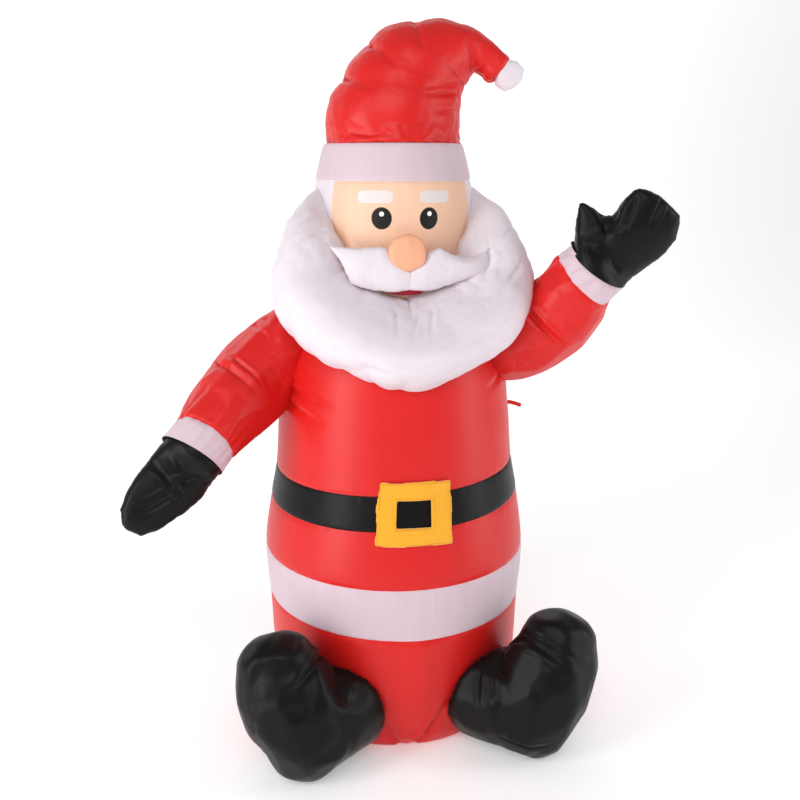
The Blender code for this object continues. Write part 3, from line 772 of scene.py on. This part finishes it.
# How nylon behaves in the simulation
NYLON = {
    "quality": 5, "mass": 0.12, "air_damping": 1.5, "tension_stiffness": 25, "compression_stiffness": 25,
    "shear_stiffness": 12, "bending_stiffness": 0.05, "tension_damping": 8, "compression_damping": 8,
}


def blow_up(piece, seam, held=(), shrink=0.0, pressure=4.0, steps=18, most=0.012, ease=0.0, smooth=1):
    """Lets air pressure swell the cloth of a piece while its seam vertices draw in.

    seam gives the vertices whose cloth shrinks, with a weight if it is a dictionary, and
    held those that don't move. No point moves further than most. ease is how much larger
    the piece is cut, all round, because its seams draw it in.
    """
    points, facing = points_of(piece)
    free = np.ones(len(points))
    if ease and len(held):
        near = [np.linalg.norm(points - points[i], axis=1) for i in list(held)[::4]]
        free = 1 - np.exp(-((np.min(near, axis=0) / 0.03) ** 2))
    move_points(piece, points + facing * (ease * free)[:, None])
    group = piece.vertex_groups.new(name="seam")
    weights = seam if isinstance(seam, dict) else {i: 1.0 for i in seam}
    for i, weight in weights.items():
        group.add([int(i)], float(weight), "REPLACE")
    cloth = piece.modifiers.new("air", "CLOTH")
    settings = cloth.settings
    for key, value in NYLON.items():
        setattr(settings, key, value)
    settings.use_pressure = True
    settings.uniform_pressure_force = pressure
    settings.vertex_group_shrink = "seam"
    settings.shrink_max = shrink
    settings.effector_weights.gravity = 0
    if len(held):
        fixed = piece.vertex_groups.new(name="held")
        fixed.add([int(i) for i in held], 1.0, "REPLACE")
        settings.vertex_group_mass = "held"
    before, _ = points_of(piece)
    for step in range(1, steps + 1):
        bpy.context.scene.frame_set(step)
    swollen = piece.evaluated_get(bpy.context.evaluated_depsgraph_get()).to_mesh()
    after = np.empty(len(swollen.vertices) * 3)
    swollen.vertices.foreach_get("co", after)
    piece.modifiers.remove(cloth)
    bpy.context.scene.frame_set(1)
    shift = after.reshape(-1, 3) - before
    size = np.linalg.norm(shift, axis=1)
    shift *= (np.minimum(size, most) / np.maximum(size, 1e-9))[:, None]
    move_points(piece, before + shift)
    piece.vertex_groups.clear()
    finer = piece.modifiers.new("finer", "SUBSURF")
    finer.levels = finer.render_levels = smooth
    bake(piece)


def crumple(piece, depth, size, seed, weight):
    """Breaks a surface into slightly bulging facets about size apart, with sharp valleys."""
    points, facing = points_of(piece)
    start = Vector((seed * 3.7, seed * 1.3, seed * 2.9))
    ridges = np.array([
        noise.ridged_multi_fractal(Vector(p) / size + start, 0.9, 2.1, 3, 1.0, 1.5) for p in points
    ])
    ridges = np.clip((ridges - ridges.mean()) / ridges.std(), -2, 2.5)
    move_points(piece, points - facing * (depth * ridges * weight)[:, None])


def facets(piece, count, most, seed, weight=1.0):
    """Flattens the cloth into taut patches that meet at soft ridges, as tight taffeta does.

    Each patch lies in the plane that touches the piece at its middle. A ridge stands out by
    no more than most.
    """
    points, facing = points_of(piece)
    both = np.concatenate([points, facing * 0.04], axis=1)
    centre = int(np.random.default_rng(seed).integers(len(points)))
    nearest, level = np.full(len(points), np.inf), np.full(len(points), most)
    for _ in range(count):
        nearest = np.minimum(nearest, np.linalg.norm(both - both[centre], axis=1))
        towards = facing @ facing[centre]
        distance = np.linalg.norm(points - points[centre], axis=1)
        gap = (points[centre] - points) @ facing[centre] / np.maximum(towards, 0.4)
        # A plane has less hold further away and where the cloth faces elsewhere
        looser = np.maximum(distance - 0.05, 0) * 0.25 + np.maximum(0.8 - towards, 0) * 0.04
        level = np.minimum(level, np.maximum(gap, -0.0015) + looser)
        centre = int(nearest.argmax())
    level *= weight
    move_points(piece, points + facing * level[:, None])


def gather(piece, along, away, coarse, fine, seed):
    """Gathers the cloth of a piece at a seam, by distances along the seam and away from it."""
    points, facing = points_of(piece)
    out = puckers(along, away, pitch=0.046, depth=coarse, reach=0.085, seed=seed)
    out += puckers(along, away, pitch=0.017, depth=fine, reach=0.035, seed=seed + 1)
    out += pinch(away)
    move_points(piece, points + facing * out[:, None])
    crumple(piece, depth=fine * 0.4, size=0.075, seed=seed, weight=0.4 + np.exp(-away / 0.05))


def relax(piece, weights, rounds):
    """Evens out a piece's mesh where its vertices have a weight."""
    group = piece.vertex_groups.new(name="relaxed")
    for i in np.nonzero(weights > 0.05)[0]:
        group.add([int(i)], float(weights[i]), "REPLACE")
    even = piece.modifiers.new("even", "SMOOTH")
    even.vertex_group = "relaxed"
    even.iterations = rounds
    bake(piece)
    piece.vertex_groups.clear()


def cloth_spots(piece):
    """Where each vertex of a piece is on the flat cloth."""
    places = np.empty(len(piece.data.loops) * 2, dtype=np.float32)
    piece.data.uv_layers["cloth"].data.foreach_get("uv", places)
    corners = np.empty(len(piece.data.loops), dtype=np.int32)
    piece.data.loops.foreach_get("vertex_index", corners)
    spots = np.zeros((len(piece.data.vertices), 2))
    spots[corners] = places.reshape(-1, 2)
    return spots


def gather_rim(piece, outline, coarse, fine, seed, open_side=None):
    """Gathers a bag at the seam along its outline, but not at its open side."""
    rim, on_open = resample(outline, 0.002, open_side)
    rim = rim[~on_open]
    reach = np.cumsum(np.linalg.norm(np.diff(rim, axis=0, prepend=rim[:1]), axis=1))
    spots = cloth_spots(piece)
    nearest = np.empty(len(spots), dtype=int)
    away = np.empty(len(spots))
    for start in range(0, len(spots), 4000):
        block = spots[start:start + 4000]
        distance = np.linalg.norm(block[:, None] - rim[None], axis=2)
        nearest[start:start + 4000] = distance.argmin(axis=1)
        away[start:start + 4000] = distance.min(axis=1)
    gather(piece, reach[nearest], away, coarse, fine, seed)


def gather_sides(piece, girth, coarse, fine, seed):
    """Gathers a roll at its two seams, which are half its girth apart."""
    spots = cloth_spots(piece)
    for number, seam in enumerate((0, girth / 2)):
        away = np.abs(np.mod(spots[:, 0] - seam + girth / 2, girth) - girth / 2)
        gather(piece, spots[:, 1], away, coarse, fine, seed + 2 * number)


def percent(outline):
    return [(x * PERCENT, y * PERCENT) for x, y in outline]


skin_nylon = taffeta("skin_nylon_taffeta", "F6B18C", 0.45)
NOSE_RADIUS = 2.68 * PERCENT
turns = np.linspace(0, tau, 26, endpoint=False)
nose_outline = [(NOSE_RADIUS * sin(a), NOSE_RADIUS * cos(a)) for a in turns]
nose_place = (np.array((-0.15, -13.2, 70.45)) * PERCENT, (1, 0, 0), (0, 0, 1))
nose, seam, _ = bag("nose", nose_outline, nose_place, skin_nylon, cell=0.0034)
blow_up(nose, seam, pressure=12, steps=30, most=0.03, smooth=2)
gather_rim(nose, nose_outline, coarse=0.001, fine=0.0014, seed=2)
dress(nose, "nose")

# Corners of the two lobes, in percent across and up from the middle under the nose
RIGHT_LOBE = [
    (-10.4, 3.3), (-8.9, 1.0), (-7.4, -2.0), (-4.8, -2.9), (-2.3, -2.95), (0.35, -2.7), (0.35, -0.3),
    (-1.9, 1.3), (-2.8, 2.9), (-3.9, 3.1), (-6.9, 3.0),
]
LEFT_LOBE = [
    (-0.35, -2.7), (3.0, -3.0), (6.5, -2.3), (8.6, -1.7), (11.0, -2.4), (11.3, -0.4), (11.0, 2.4),
    (9.1, 1.8), (7.3, 1.8), (5.5, 2.4), (4.1, 3.0), (2.5, 2.4), (1.9, 1.2), (-0.35, -0.3),
]
MOUSTACHE_FORWARD = -13.0
MOUSTACHE_HEIGHT = 68.2
MOUSTACHE_TURN = radians(11)
middle = np.array((0, MOUSTACHE_FORWARD, MOUSTACHE_HEIGHT)) * PERCENT
lobes = []
for name, outline, side in (("right_lobe", RIGHT_LOBE, -1), ("left_lobe", LEFT_LOBE, 1)):
    turn = MOUSTACHE_TURN * side
    place = (middle, (cos(turn), sin(turn), 0), (0, 0, 1))
    cut = [((x * 1.06 - side * 0.004) / cos(turn), y * 1.04) for x, y in percent(outline)]
    lobe, seam, _ = bag(name, cut, place, white_nylon, cell=0.0036)
    blow_up(lobe, seam, pressure=12, steps=30, most=0.03)
    gather_rim(lobe, cut, coarse=0.0014, fine=0.001, seed=5 + side)
    lobes.append(lobe)
moustache = lobes[0]
with bpy.context.temp_override(active_object=moustache, selected_editable_objects=lobes):
    bpy.ops.object.join()
dress(moustache, "moustache")


# Beard. A thick roll of white nylon round the lower face, of two panels with a seam along the
# outer edge and one along the inner. Both seams are shorter than the cloth and crumple it.
def at(x, y, z, across, deep, slope=None):
    """A section of a roll, in percent: its centre, half-width and half-depth.

    It is square to the roll, unless slope says how many degrees it falls towards +X.
    """
    side = (0, 0, 0) if slope is None else (cos(radians(slope)), 0, -sin(radians(slope)))
    return np.concatenate([np.array([x, y, z, across, deep]) * PERCENT, side])


def around(radius, direction, z, across, deep):
    """A section at a distance from the axis and a direction in degrees from the front."""
    angle = radians(direction)
    return at(radius * sin(angle), -radius * cos(angle), z, across, deep)


def roll_points(sections, places, sides, shape=None):
    """Rings of points round a roll, at places counted along its sections."""
    keys, last = list(enumerate(sections)), len(sections) - 1
    section = through(keys, places)
    ahead, behind = np.minimum(places + 0.02, last), np.maximum(places - 0.02, 0)
    along = (through(keys, ahead) - through(keys, behind))[:, :3]
    along /= np.linalg.norm(along, axis=1)[:, None]
    side = section[:, 5:8] if section[:, 5:8].any() else np.cross(along, (0, -1, 0))
    side = side / np.linalg.norm(side, axis=1)[:, None]
    deep = np.cross(side, along)
    deep /= np.linalg.norm(deep, axis=1)[:, None]
    angle = np.linspace(0, tau, sides, endpoint=False)
    scale = shape(places[:, None], angle) if shape else np.ones((len(places), sides))
    across = section[:, None, 3] * np.cos(angle) * scale
    depth = section[:, None, 4] * np.sin(angle) * scale
    return section[:, None, :3] + across[..., None] * side[:, None] - depth[..., None] * deep[:, None]


def domed(rings, reach, end):
    """Adds shrinking rings that round off an end, 0 or -1. Returns the rings and the tip."""
    inner = rings[1] if end == 0 else rings[-2]
    rim = rings[end]
    centre = rim.mean(axis=0)
    along = centre - inner.mean(axis=0)
    along /= np.linalg.norm(along)
    bends = np.linspace(0, pi / 2, 9)[1:-1]
    extra = [centre + (rim - centre) * cos(b) + along * reach * sin(b) for b in bends]
    tip = centre + along * reach
    if end == 0:
        return np.concatenate([extra[::-1], rings]), tip
    return np.concatenate([rings, extra]), tip


def roll_spots(rings):
    """Places on the flat cloth, from the lengths along and round a roll."""
    steps = np.linalg.norm(np.diff(rings.mean(axis=1), axis=0), axis=1)
    along = np.concatenate([[0], np.cumsum(steps)])
    girth = np.linalg.norm(rings - np.roll(rings, 1, axis=1), axis=2).sum(axis=1).max()
    return np.stack(np.meshgrid(np.linspace(0, girth, rings.shape[1] + 1), along), axis=-1)


def seam_lines(rings, weights):
    """Weights of the vertices along a roll's seams, by each seam's place in the rings."""
    sides = rings.shape[1]
    return {j * sides + i: weight for j in range(len(rings)) for i, weight in weights.items()}


BEARD_HALF = [
    around(11.4, -65, 77.8, 1.2, 1.6),
    around(13.3, -62, 74.7, 3.1, 3.0),
    around(14.9, -58, 70.2, 4.6, 4.3),
    around(16.0, -53, 65.3, 5.5, 5.1),
    around(16.0, -41, 61.7, 5.5, 5.4),
    around(15.3, -23, 59.3, 5.2, 5.4),
]
FLIP = np.array([-1, 1, 1, 1, 1, 1, 1, 1])
BEARD = BEARD_HALF + [at(0, -15.2, 57.5, 5.2, 5.2)] + [s * FLIP for s in reversed(BEARD_HALF)]
BEARD_FOLDS = [
    ((11.0, -11.2, 69.8), (9.6, -13.5, 66.6), 6, 7, (1, 0, 0)),
    ((-1.7, -15.6, 64.6), (-2.4, -19.5, 61.5), 4, 4, (-1, 0, 0)),
    ((1.0, -15.6, 64.6), (-0.7, -19.3, 61.8), 3, 3, (1, 0, 0)),
    ((2.6, -15.8, 64.4), (1.6, -19.6, 61.0), 3.5, 4, (1, 0, 0)),
    ((-10.9, -8.5, 76.1), (-14.1, -9.6, 74.2), 4, 5, (0, 0, 1)),
    ((-10.6, -9.6, 73.9), (-14.6, -11.0, 71.6), 4, 5, (0, 0, 1)),
    ((14.9, -9.6, 73.6), (12.4, -10.6, 71.6), 3, 4, (0, 0, -1)),
    ((15.2, -12.4, 68.6), (11.6, -15.5, 65.4), 4, 5, (1, 0, 0)),
    ((-12.8, -16.9, 60.0), (-8.6, -19.0, 59.6), 3, 5, (0, 0, 1)),
    ((-8.8, -18.6, 58.0), (-5.9, -19.8, 57.6), 3, 5, (0, 0, 1)),
    ((-5.9, -19.0, 56.0), (-2.6, -18.6, 56.2), 3, 5, (0, 0, 1)),
]
BEARD_SIDES = 84
rings = roll_points(BEARD, np.linspace(0, len(BEARD) - 1, 150), BEARD_SIDES)
# Under the mouth the roll leans in towards the face
lean = np.exp(-((rings[..., 0] / (9 * PERCENT)) ** 2)) * np.maximum(rings[..., 2] - 58 * PERCENT, 0)
rings[..., 1] += 0.75 * lean
rings, first = domed(rings, PERCENT, end=0)
rings, final = domed(rings, PERCENT, end=-1)
spots = roll_spots(rings)
beard = cloth_grid("beard", rings, spots, white_nylon, tips=(first, final))
seam = seam_lines(rings, {0: 1.0, BEARD_SIDES // 2: 0.8})
blow_up(beard, seam, shrink=0.3, most=0.012, ease=0.006)
gather_sides(beard, spots[0, -1, 0], coarse=0.006, fine=0.0022, seed=30)
crease(beard, BEARD_FOLDS)
dress(beard, "beard")


# Hat. A red cone, bent over to the figure's left. A cord through its outer seam gathers the
# cloth into lobes, and the cloth folds where the inner side is bent shut. Its tip is sewn
# into a small white pompom.
def between(outer, inner, y, deep):
    """A section from one x, z point on the hat's outline to the point across from it."""
    (x0, z0), (x1, z1) = inner, outer
    half = np.array((x0 - x1, 0, z0 - z1)) / 2
    lean = half / np.linalg.norm(half)
    centre = ((x0 + x1) / 2, y, (z0 + z1) / 2, np.linalg.norm(half), deep)
    return np.concatenate([np.array(centre) * PERCENT, lean])


HAT = [
    between((-9.6, 84.1), (9.6, 84.1), 0.0, 9.6),
    between((-9.3, 87.0), (8.8, 86.6), 0.0, 9.1),
    between((-8.4, 90.0), (8.4, 88.8), -0.1, 8.6),
    between((-6.9, 92.7), (8.4, 90.3), -0.2, 8.0),
    between((-5.4, 95.1), (8.5, 91.6), -0.4, 7.4),
    between((-3.4, 97.0), (8.8, 92.4), -0.6, 6.8),
    between((-0.9, 99.0), (9.1, 93.0), -0.8, 6.2),
    between((2.7, 99.9), (9.5, 93.4), -1.1, 5.4),
    between((6.5, 100.0), (10.1, 94.2), -1.5, 4.4),
    between((10.3, 98.9), (11.1, 94.7), -1.9, 3.0),
    between((13.2, 97.0), (12.4, 94.2), -2.4, 2.0),
    between((15.6, 94.9), (13.6, 93.1), -2.9, 1.5),
]
# Places along HAT where the outer seam is gathered, and how deep and wide a gather is
HAT_GATHERS = (3, 5, 7)
GATHER_DEPTH, GATHER_LENGTH = 0.085, 0.28
GATHER_SPREAD = radians(34)
# The folds fan out from where the hat is bent shut, and from the gathers of the outer seam
HAT_FOLDS = [
    ((7.8, -5.0, 92.0), (2.6, -7.8, 91.0), 3.5, 5, (0, 0, -1)),
    ((7.8, -4.6, 90.6), (2.2, -8.2, 90.2), 4.5, 5, (0, 0, -1)),
    ((7.6, -4.8, 88.6), (3.2, -8.4, 88.1), 3, 5, (0, 0, -1)),
    ((9.9, -3.4, 94.0), (8.4, -5.4, 97.6), 5, 5, (1, 0, 0)),
    ((-6.6, -1.0, 92.6), (-2.6, -7.4, 90.4), 4, 6, (0, 0, -1)),
    ((-3.4, -2.4, 96.4), (-0.4, -7.2, 92.8), 4, 6, (1, 0, 0)),
    ((2.3, -2.8, 99.4), (2.6, -7.0, 95.0), 4, 5, (1, 0, 0)),
]
HAT_SIDES = 120


def gathered(place, angle):
    """How much the hat's radius shrinks where its outer seam is drawn in."""
    from_seam = (np.mod(angle, tau) - pi) / GATHER_SPREAD
    pull = sum(np.exp(-abs(place - gather) / GATHER_LENGTH) for gather in HAT_GATHERS)
    return 1 - GATHER_DEPTH * pull * np.exp(-from_seam * from_seam)


rings = roll_points(HAT, np.linspace(0, len(HAT) - 1, 110), HAT_SIDES, gathered)
rings[0, :, 2] -= 0.003
spots = roll_spots(rings)
hat = cloth_grid("hat", rings, spots, red_nylon, tips=(rings[0].mean(axis=0), HAT[-1][:3]))
seam = seam_lines(rings, {HAT_SIDES // 2: 0.8, 0: 1.0})
blow_up(hat, seam, held=range(HAT_SIDES), shrink=0.25, most=0.008, ease=0.010)
gather_sides(hat, spots[0, -1, 0], coarse=0.0038, fine=0.002, seed=50)
seam_spots = np.mod(cloth_spots(hat)[:, 0], spots[0, -1, 0] / 2)
from_seam = np.minimum(seam_spots, spots[0, -1, 0] / 2 - seam_spots)
relax(hat, np.exp(-((from_seam / 0.014) ** 2)), rounds=8)
crease(hat, HAT_FOLDS)
dress(hat, "hat")

tip, before = HAT[-1][:3], HAT[-2][:3]
along = (tip - before) / np.linalg.norm(tip - before)
across = np.cross(along, (0, -1, 0))
across /= np.linalg.norm(across)
POMPOM_OUTLINE = percent([
    (-1.4, -0.4), (-2.1, 0.7), (-2.0, 2.4), (-0.7, 3.2), (1.0, 3.1), (2.4, 2.3), (2.6, 0.7), (1.5, -0.4),
])
place = (tip, across, along)
pompom, seam, held = bag("pompom", POMPOM_OUTLINE, place, white_nylon, cell=0.0032, open_side=7)
blow_up(pompom, seam, held, pressure=12, steps=30, most=0.03, smooth=2)
gather_rim(pompom, POMPOM_OUTLINE, coarse=0.0008, fine=0.0008, seed=71, open_side=7)
dress(pompom, "pompom")


# Arms. Each is one tube, with a red sleeve and a white cuff let in at the wrist. The right
# arm hangs out to the side and the left one is raised. The sleeve folds at the elbow.
RIGHT_ARM = [
    at(-10.0, 1.5, 59.0, 5.8, 5.8),
    at(-18.6, -1.4, 54.0, 5.8, 5.8),
    at(-23.7, -6.0, 49.8, 5.4, 5.4),
    at(-27.3, -10.4, 46.1, 4.6, 4.6),
    at(-28.9, -11.9, 44.1, 4.55, 4.55),
]
LEFT_ARM = [
    at(9.0, -1.0, 56.5, 5.6, 5.6, 88),
    at(17.0, -6.2, 57.3, 5.9, 5.9, 74),
    at(22.0, -10.6, 61.4, 5.4, 5.4, 52),
    at(23.9, -13.6, 66.3, 4.75, 4.5, 35),
    at(25.0, -14.6, 68.7, 4.65, 4.4, 33),
]
ARM_FOLDS = {
    "right": [
        ((-25.2, -6.4, 55.2), (-20.0, -10.4, 51.6), 7, 6, (1, 0, 0.5)),
        ((-22.8, -7.6, 55.9), (-19.4, -9.4, 52.6), 5, 4, (1, 0, 0.5)),
        ((-20.3, -1.2, 60.2), (-18.2, -6.2, 58.6), 4, 5, (0, -0.5, -1)),
        ((-18.6, -1.6, 60.8), (-17.2, -6.0, 58.8), 3, 5, (0, -0.5, -1)),
    ],
    "left": [
        ((16.4, -12.4, 62.0), (20.8, -15.0, 57.4), 11, 6, (1, 0, 0)),
        ((15.2, -11.5, 55.0), (17.6, -13.4, 57.6), 3, 5, (1, 0, 0)),
    ],
}
WRIST, HAND = 3, 4
ARM_SIDES = 84
SLEEVE_ROWS, CUFF_ROWS = 96, 12


def arm(side, sections):
    """Sleeve and cuff, blown up as one tube and then parted at the wrist seam."""
    places = np.concatenate([np.linspace(0, WRIST, SLEEVE_ROWS), np.linspace(WRIST, HAND, CUFF_ROWS)[1:]])
    rings = roll_points(sections, places, ARM_SIDES)
    spots = roll_spots(rings)
    tube = cloth_grid(side + "_arm", rings, spots, red_nylon, tips=(rings[0].mean(axis=0), None))
    seam = seam_lines(rings, {0: 0.8, ARM_SIDES // 2: 0.8})
    shoulder = np.arange(ARM_SIDES)
    wrist_seam = shoulder + (SLEEVE_ROWS - 1) * ARM_SIDES
    end = shoulder + (len(rings) - 1) * ARM_SIDES
    seam.update({i: 0.35 for i in [*wrist_seam, *end]})
    held = [*shoulder, *end]
    tube.data.materials.append(band_nylon)
    for face in tube.data.polygons:
        face.material_index = int(min(face.vertices) >= wrist_seam[0] and len(face.vertices) == 4)
    blow_up(tube, seam, held, shrink=0.14, most=0.008, ease=0.003)
    gather_sides(tube, spots[0, -1, 0], coarse=0.0014, fine=0.0007, seed=80)
    spots = cloth_spots(tube)
    wrist = roll_spots(rings)[SLEEVE_ROWS - 1, 0, 1]
    above_wrist = np.clip((wrist - spots[:, 1]) / 0.03, 0, 1)
    facets(tube, count=50, most=0.003, seed=7, weight=above_wrist)
    relax(tube, above_wrist, rounds=8)
    gather(tube, spots[:, 0], np.abs(spots[:, 1] - wrist), coarse=0.0008, fine=0.0006, seed=90)
    crease(tube, ARM_FOLDS[side])
    parts = []
    for name, keep, material in ((side + "_sleeve", 0, red_nylon), (side + "_cuff", 1, band_nylon)):
        solid = bmesh.new()
        solid.from_mesh(tube.data)
        others = [f for f in solid.faces if f.material_index != keep]
        bmesh.ops.delete(solid, geom=others, context="FACES")
        mesh = bpy.data.meshes.new(name)
        for f in solid.faces:
            f.material_index = 0
        solid.to_mesh(mesh)
        solid.free()
        mesh.materials.append(material)
        mesh.shade_smooth()
        parts.append(linked(name, mesh))
    bpy.data.objects.remove(tube)
    return parts


for side, sections in (("right", RIGHT_ARM), ("left", LEFT_ARM)):
    sleeve, cuff = arm(side, sections)
    dress(sleeve, side + "_sleeve")
    dress(cuff, side + "_cuff")


# Mittens. Each is a bag of two black panels with a thumb, sewn to the cuff at the wrist. The
# left one is spread open. The right one hangs, with its thumb folded in over the palm.
RIGHT_MITTEN = [
    (4.45, -0.6), (4.2, 2.4), (4.1, 6.2), (3.7, 8.65), (2.9, 10.8), (1.5, 12.1), (0.5, 12.45),
    (-1.6, 11.9), (-2.8, 10.2), (-4.1, 6.3), (-4.75, 3.1), (-4.6, 1.1), (-4.45, -0.6),
]
LEFT_MITTEN = [
    (-4.3, -0.8), (-5.4, 0.5), (-7.6, 3.0), (-8.1, 3.7), (-7.8, 4.3), (-6.3, 4.7), (-4.5, 5.1),
    (-3.9, 5.7), (-4.3, 7.0), (-4.5, 9.5), (-4.0, 10.5), (-2.8, 11.1), (-1.2, 11.6), (1.0, 11.7),
    (2.45, 11.45), (3.2, 10.7), (4.5, 9.1), (5.0, 6.9), (4.8, 3.8), (4.7, 1.8), (4.5, 0.8),
]
MITTEN_FOLDS = {
    "right": [
        ((-30.5, -16.9, 41.1), (-34.0, -14.5, 44.9), 5, 5, (0, 0, -1)),
        ((-30.5, -16.9, 41.1), (-26.4, -15.0, 42.4), 6, 5, (0, 0, 1)),
        ((-30.5, -16.9, 41.1), (-35.8, -17.1, 38.4), 5, 5, (0, 0, 1)),
        ((-30.5, -16.9, 41.1), (-29.4, -17.1, 38.4), 5, 5, (1, 0, 0)),
        ((-31.6, -17.7, 39.9), (-36.0, -17.1, 37.8), 4, 4, (0, 0, -1)),
    ],
    "left": [
        ((24.2, -18.2, 75.6), (24.4, -20.4, 71.2), 7, 6, (1, 0, 0)),
        ((27.6, -19.4, 77.4), (25.6, -20.8, 71.6), 4, 6, (-1, 0, 0)),
        ((30.8, -20.0, 77.0), (29.4, -21.3, 73.9), 5, 4, (1, 0, 0)),
        ((25.2, -18.6, 75.8), (22.9, -19.4, 71.8), 4, 5, (-1, 0, 0)),
    ],
}
for side, outline, sections, tip in (
    ("right", RIGHT_MITTEN, RIGHT_ARM, (-34.8, -15.2, 38.0)),
    ("left", LEFT_MITTEN, LEFT_ARM, (29.9, -17.9, 74.3)),
):
    wrist = sections[HAND][:3]
    along = np.array(tip) * PERCENT - wrist
    along /= np.linalg.norm(along)
    across = np.cross(along, (0, -1, 0))
    across /= np.linalg.norm(across)
    cut = [(x * (0.98 + 0.05 * min(max(y, 0) / 3, 1)) * PERCENT, y * 1.03 * PERCENT) for x, y in outline]
    place, opening = (wrist, across, along), len(outline) - 1
    mitten, seam, held = bag(side + "_mitten", cut, place, black_nylon, cell=0.0042, open_side=opening)
    blow_up(mitten, seam, held, pressure=12, steps=32, most=0.035)
    gather_rim(mitten, cut, coarse=0.001, fine=0.0008, seed=95, open_side=opening)
    crease(mitten, MITTEN_FOLDS[side])
    dress(mitten, side + "_mitten")


# Boots. Each is a leg and a foot sewn of two black side panels, with a seam down the middle
# of the sole. The leg lies forward and outward, the foot stands up, and the ankle is creased.
BOOT_CELL = 0.0055
ROUNDING_LOSS = 0.0035
SOLE_WIDTH = 0.085
BOOT_FOLDS = {
    "right_boot": [
        ((-13.0, -17.1, 15.8), (-18.8, -25.2, 14.0), 9, 7, (0, 0, 1)),
        ((-15.8, -18.8, 19.8), (-17.2, -22.4, 18.8), 3, 5, (-1, 0, 0)),
    ],
    "left_boot": [
        ((14.8, -18.1, 16.2), (20.6, -25.0, 15.0), 8, 6, (0, 0, -1)),
        ((15.4, -19.1, 17.6), (21.2, -24.4, 16.2), 6, 5, (0, 0, 1)),
        ((12.0, -25.0, 4.4), (17.4, -26.4, 4.0), 5, 4, (0, 0, 1)),
        ((8.9, -19.4, 12.1), (8.3, -21.8, 8.4), 4, 5, (1, 0, 0)),
        ((10.7, -20.2, 12.4), (9.7, -22.7, 8.8), 4, 5, (1, 0, 0)),
    ],
}


def remeshed(node, cell, rounds):
    """A copy of a solid's surface in even cells, with its flat faces rounded off."""
    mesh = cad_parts[node].data.copy()
    copy = linked(node + "_cloth", mesh)
    solid = bmesh.new()
    solid.from_mesh(mesh)
    bmesh.ops.remove_doubles(solid, verts=solid.verts, dist=1e-5)
    solid.to_mesh(mesh)
    solid.free()
    remesh = copy.modifiers.new("even", "REMESH")
    remesh.mode = "VOXEL"
    remesh.voxel_size = cell
    smooth = copy.modifiers.new("round", "SMOOTH")
    smooth.iterations = rounds
    smooth.factor = 0.5
    bake(copy)
    return copy


for name, turn in (("left_boot", 39), ("right_boot", -37)):
    boot = remeshed(name, BOOT_CELL, rounds=3)
    boot.data.materials.clear()
    boot.data.materials.append(black_nylon)
    points, facing = points_of(boot)
    # Rounding the solid off has made it smaller
    points += facing * ROUNDING_LOSS
    move_points(boot, points)
    angle = radians(turn)
    outward = np.array((sin(angle), -cos(angle), 0))
    sideways = np.array((cos(angle), sin(angle), 0))
    spots = np.stack([points @ sideways, points[:, 2] + points @ outward * 0.3], axis=-1)
    lay_out(boot.data, spots[[loop.vertex_index for loop in boot.data.loops]])
    # The sole is a strip of its own, so a seam runs along each of its two edges
    near = (np.abs(np.abs(points @ sideways) - SOLE_WIDTH / 2) < 0.004) & (facing @ outward > -0.2)
    seam = {int(i): 1.0 for i in np.nonzero(near)[0]}
    blow_up(boot, seam, shrink=0.15, most=0.006, ease=0.002)
    points, facing = points_of(boot)
    middle = points.mean(axis=0)
    along_seam = np.arctan2(points[:, 2] - middle[2], (points - middle) @ outward) * 0.09
    from_seam = np.abs(np.abs(points @ sideways) - SOLE_WIDTH / 2)
    # There is no seam behind
    from_seam += np.maximum(-(facing @ outward), 0) * 0.1
    gather(boot, along_seam, from_seam, coarse=0.0014, fine=0.0008, seed=110)
    facets(boot, count=40, most=0.003, seed=3)
    relax(boot, np.ones(len(boot.data.vertices)), rounds=24)
    crease(boot, BOOT_FOLDS[name])
    points, _ = points_of(boot)
    points[:, 2] = np.maximum(points[:, 2], 0)
    move_points(boot, points)
    dress(boot, name)


# Tether tabs. Short folded strips of red webbing, sewn into the coat's side seams for guy
# lines.
TAB_LENGTH, TAB_DROOP = 0.036, 0.008
# Half the thickness and half the width of a tab
TAB_HALVES = (0.0035, 0.0055)
TAB_HEIGHT = 46.4 * PERCENT
tab_root = through(COAT_OUTLINE, TAB_HEIGHT / PERCENT) * PERCENT - 0.004
for side, sign in (("left", 1), ("right", -1)):
    sections = []
    for s in (0, 0.5, 1):
        centre = (sign * (tab_root + TAB_LENGTH * s), 0, TAB_HEIGHT - TAB_DROOP * s * s)
        sections.append(np.array([*centre, *TAB_HALVES, 0, 0, 0]))
    rings = roll_points(sections, np.linspace(0, 2, 16), 20)
    ends = (rings[0].mean(axis=0), rings[-1].mean(axis=0))
    tab = cloth_grid(side + "_tether_tab", rings, roll_spots(rings), red_nylon, tips=ends)
    dress(tab, side + "_tether_tab")
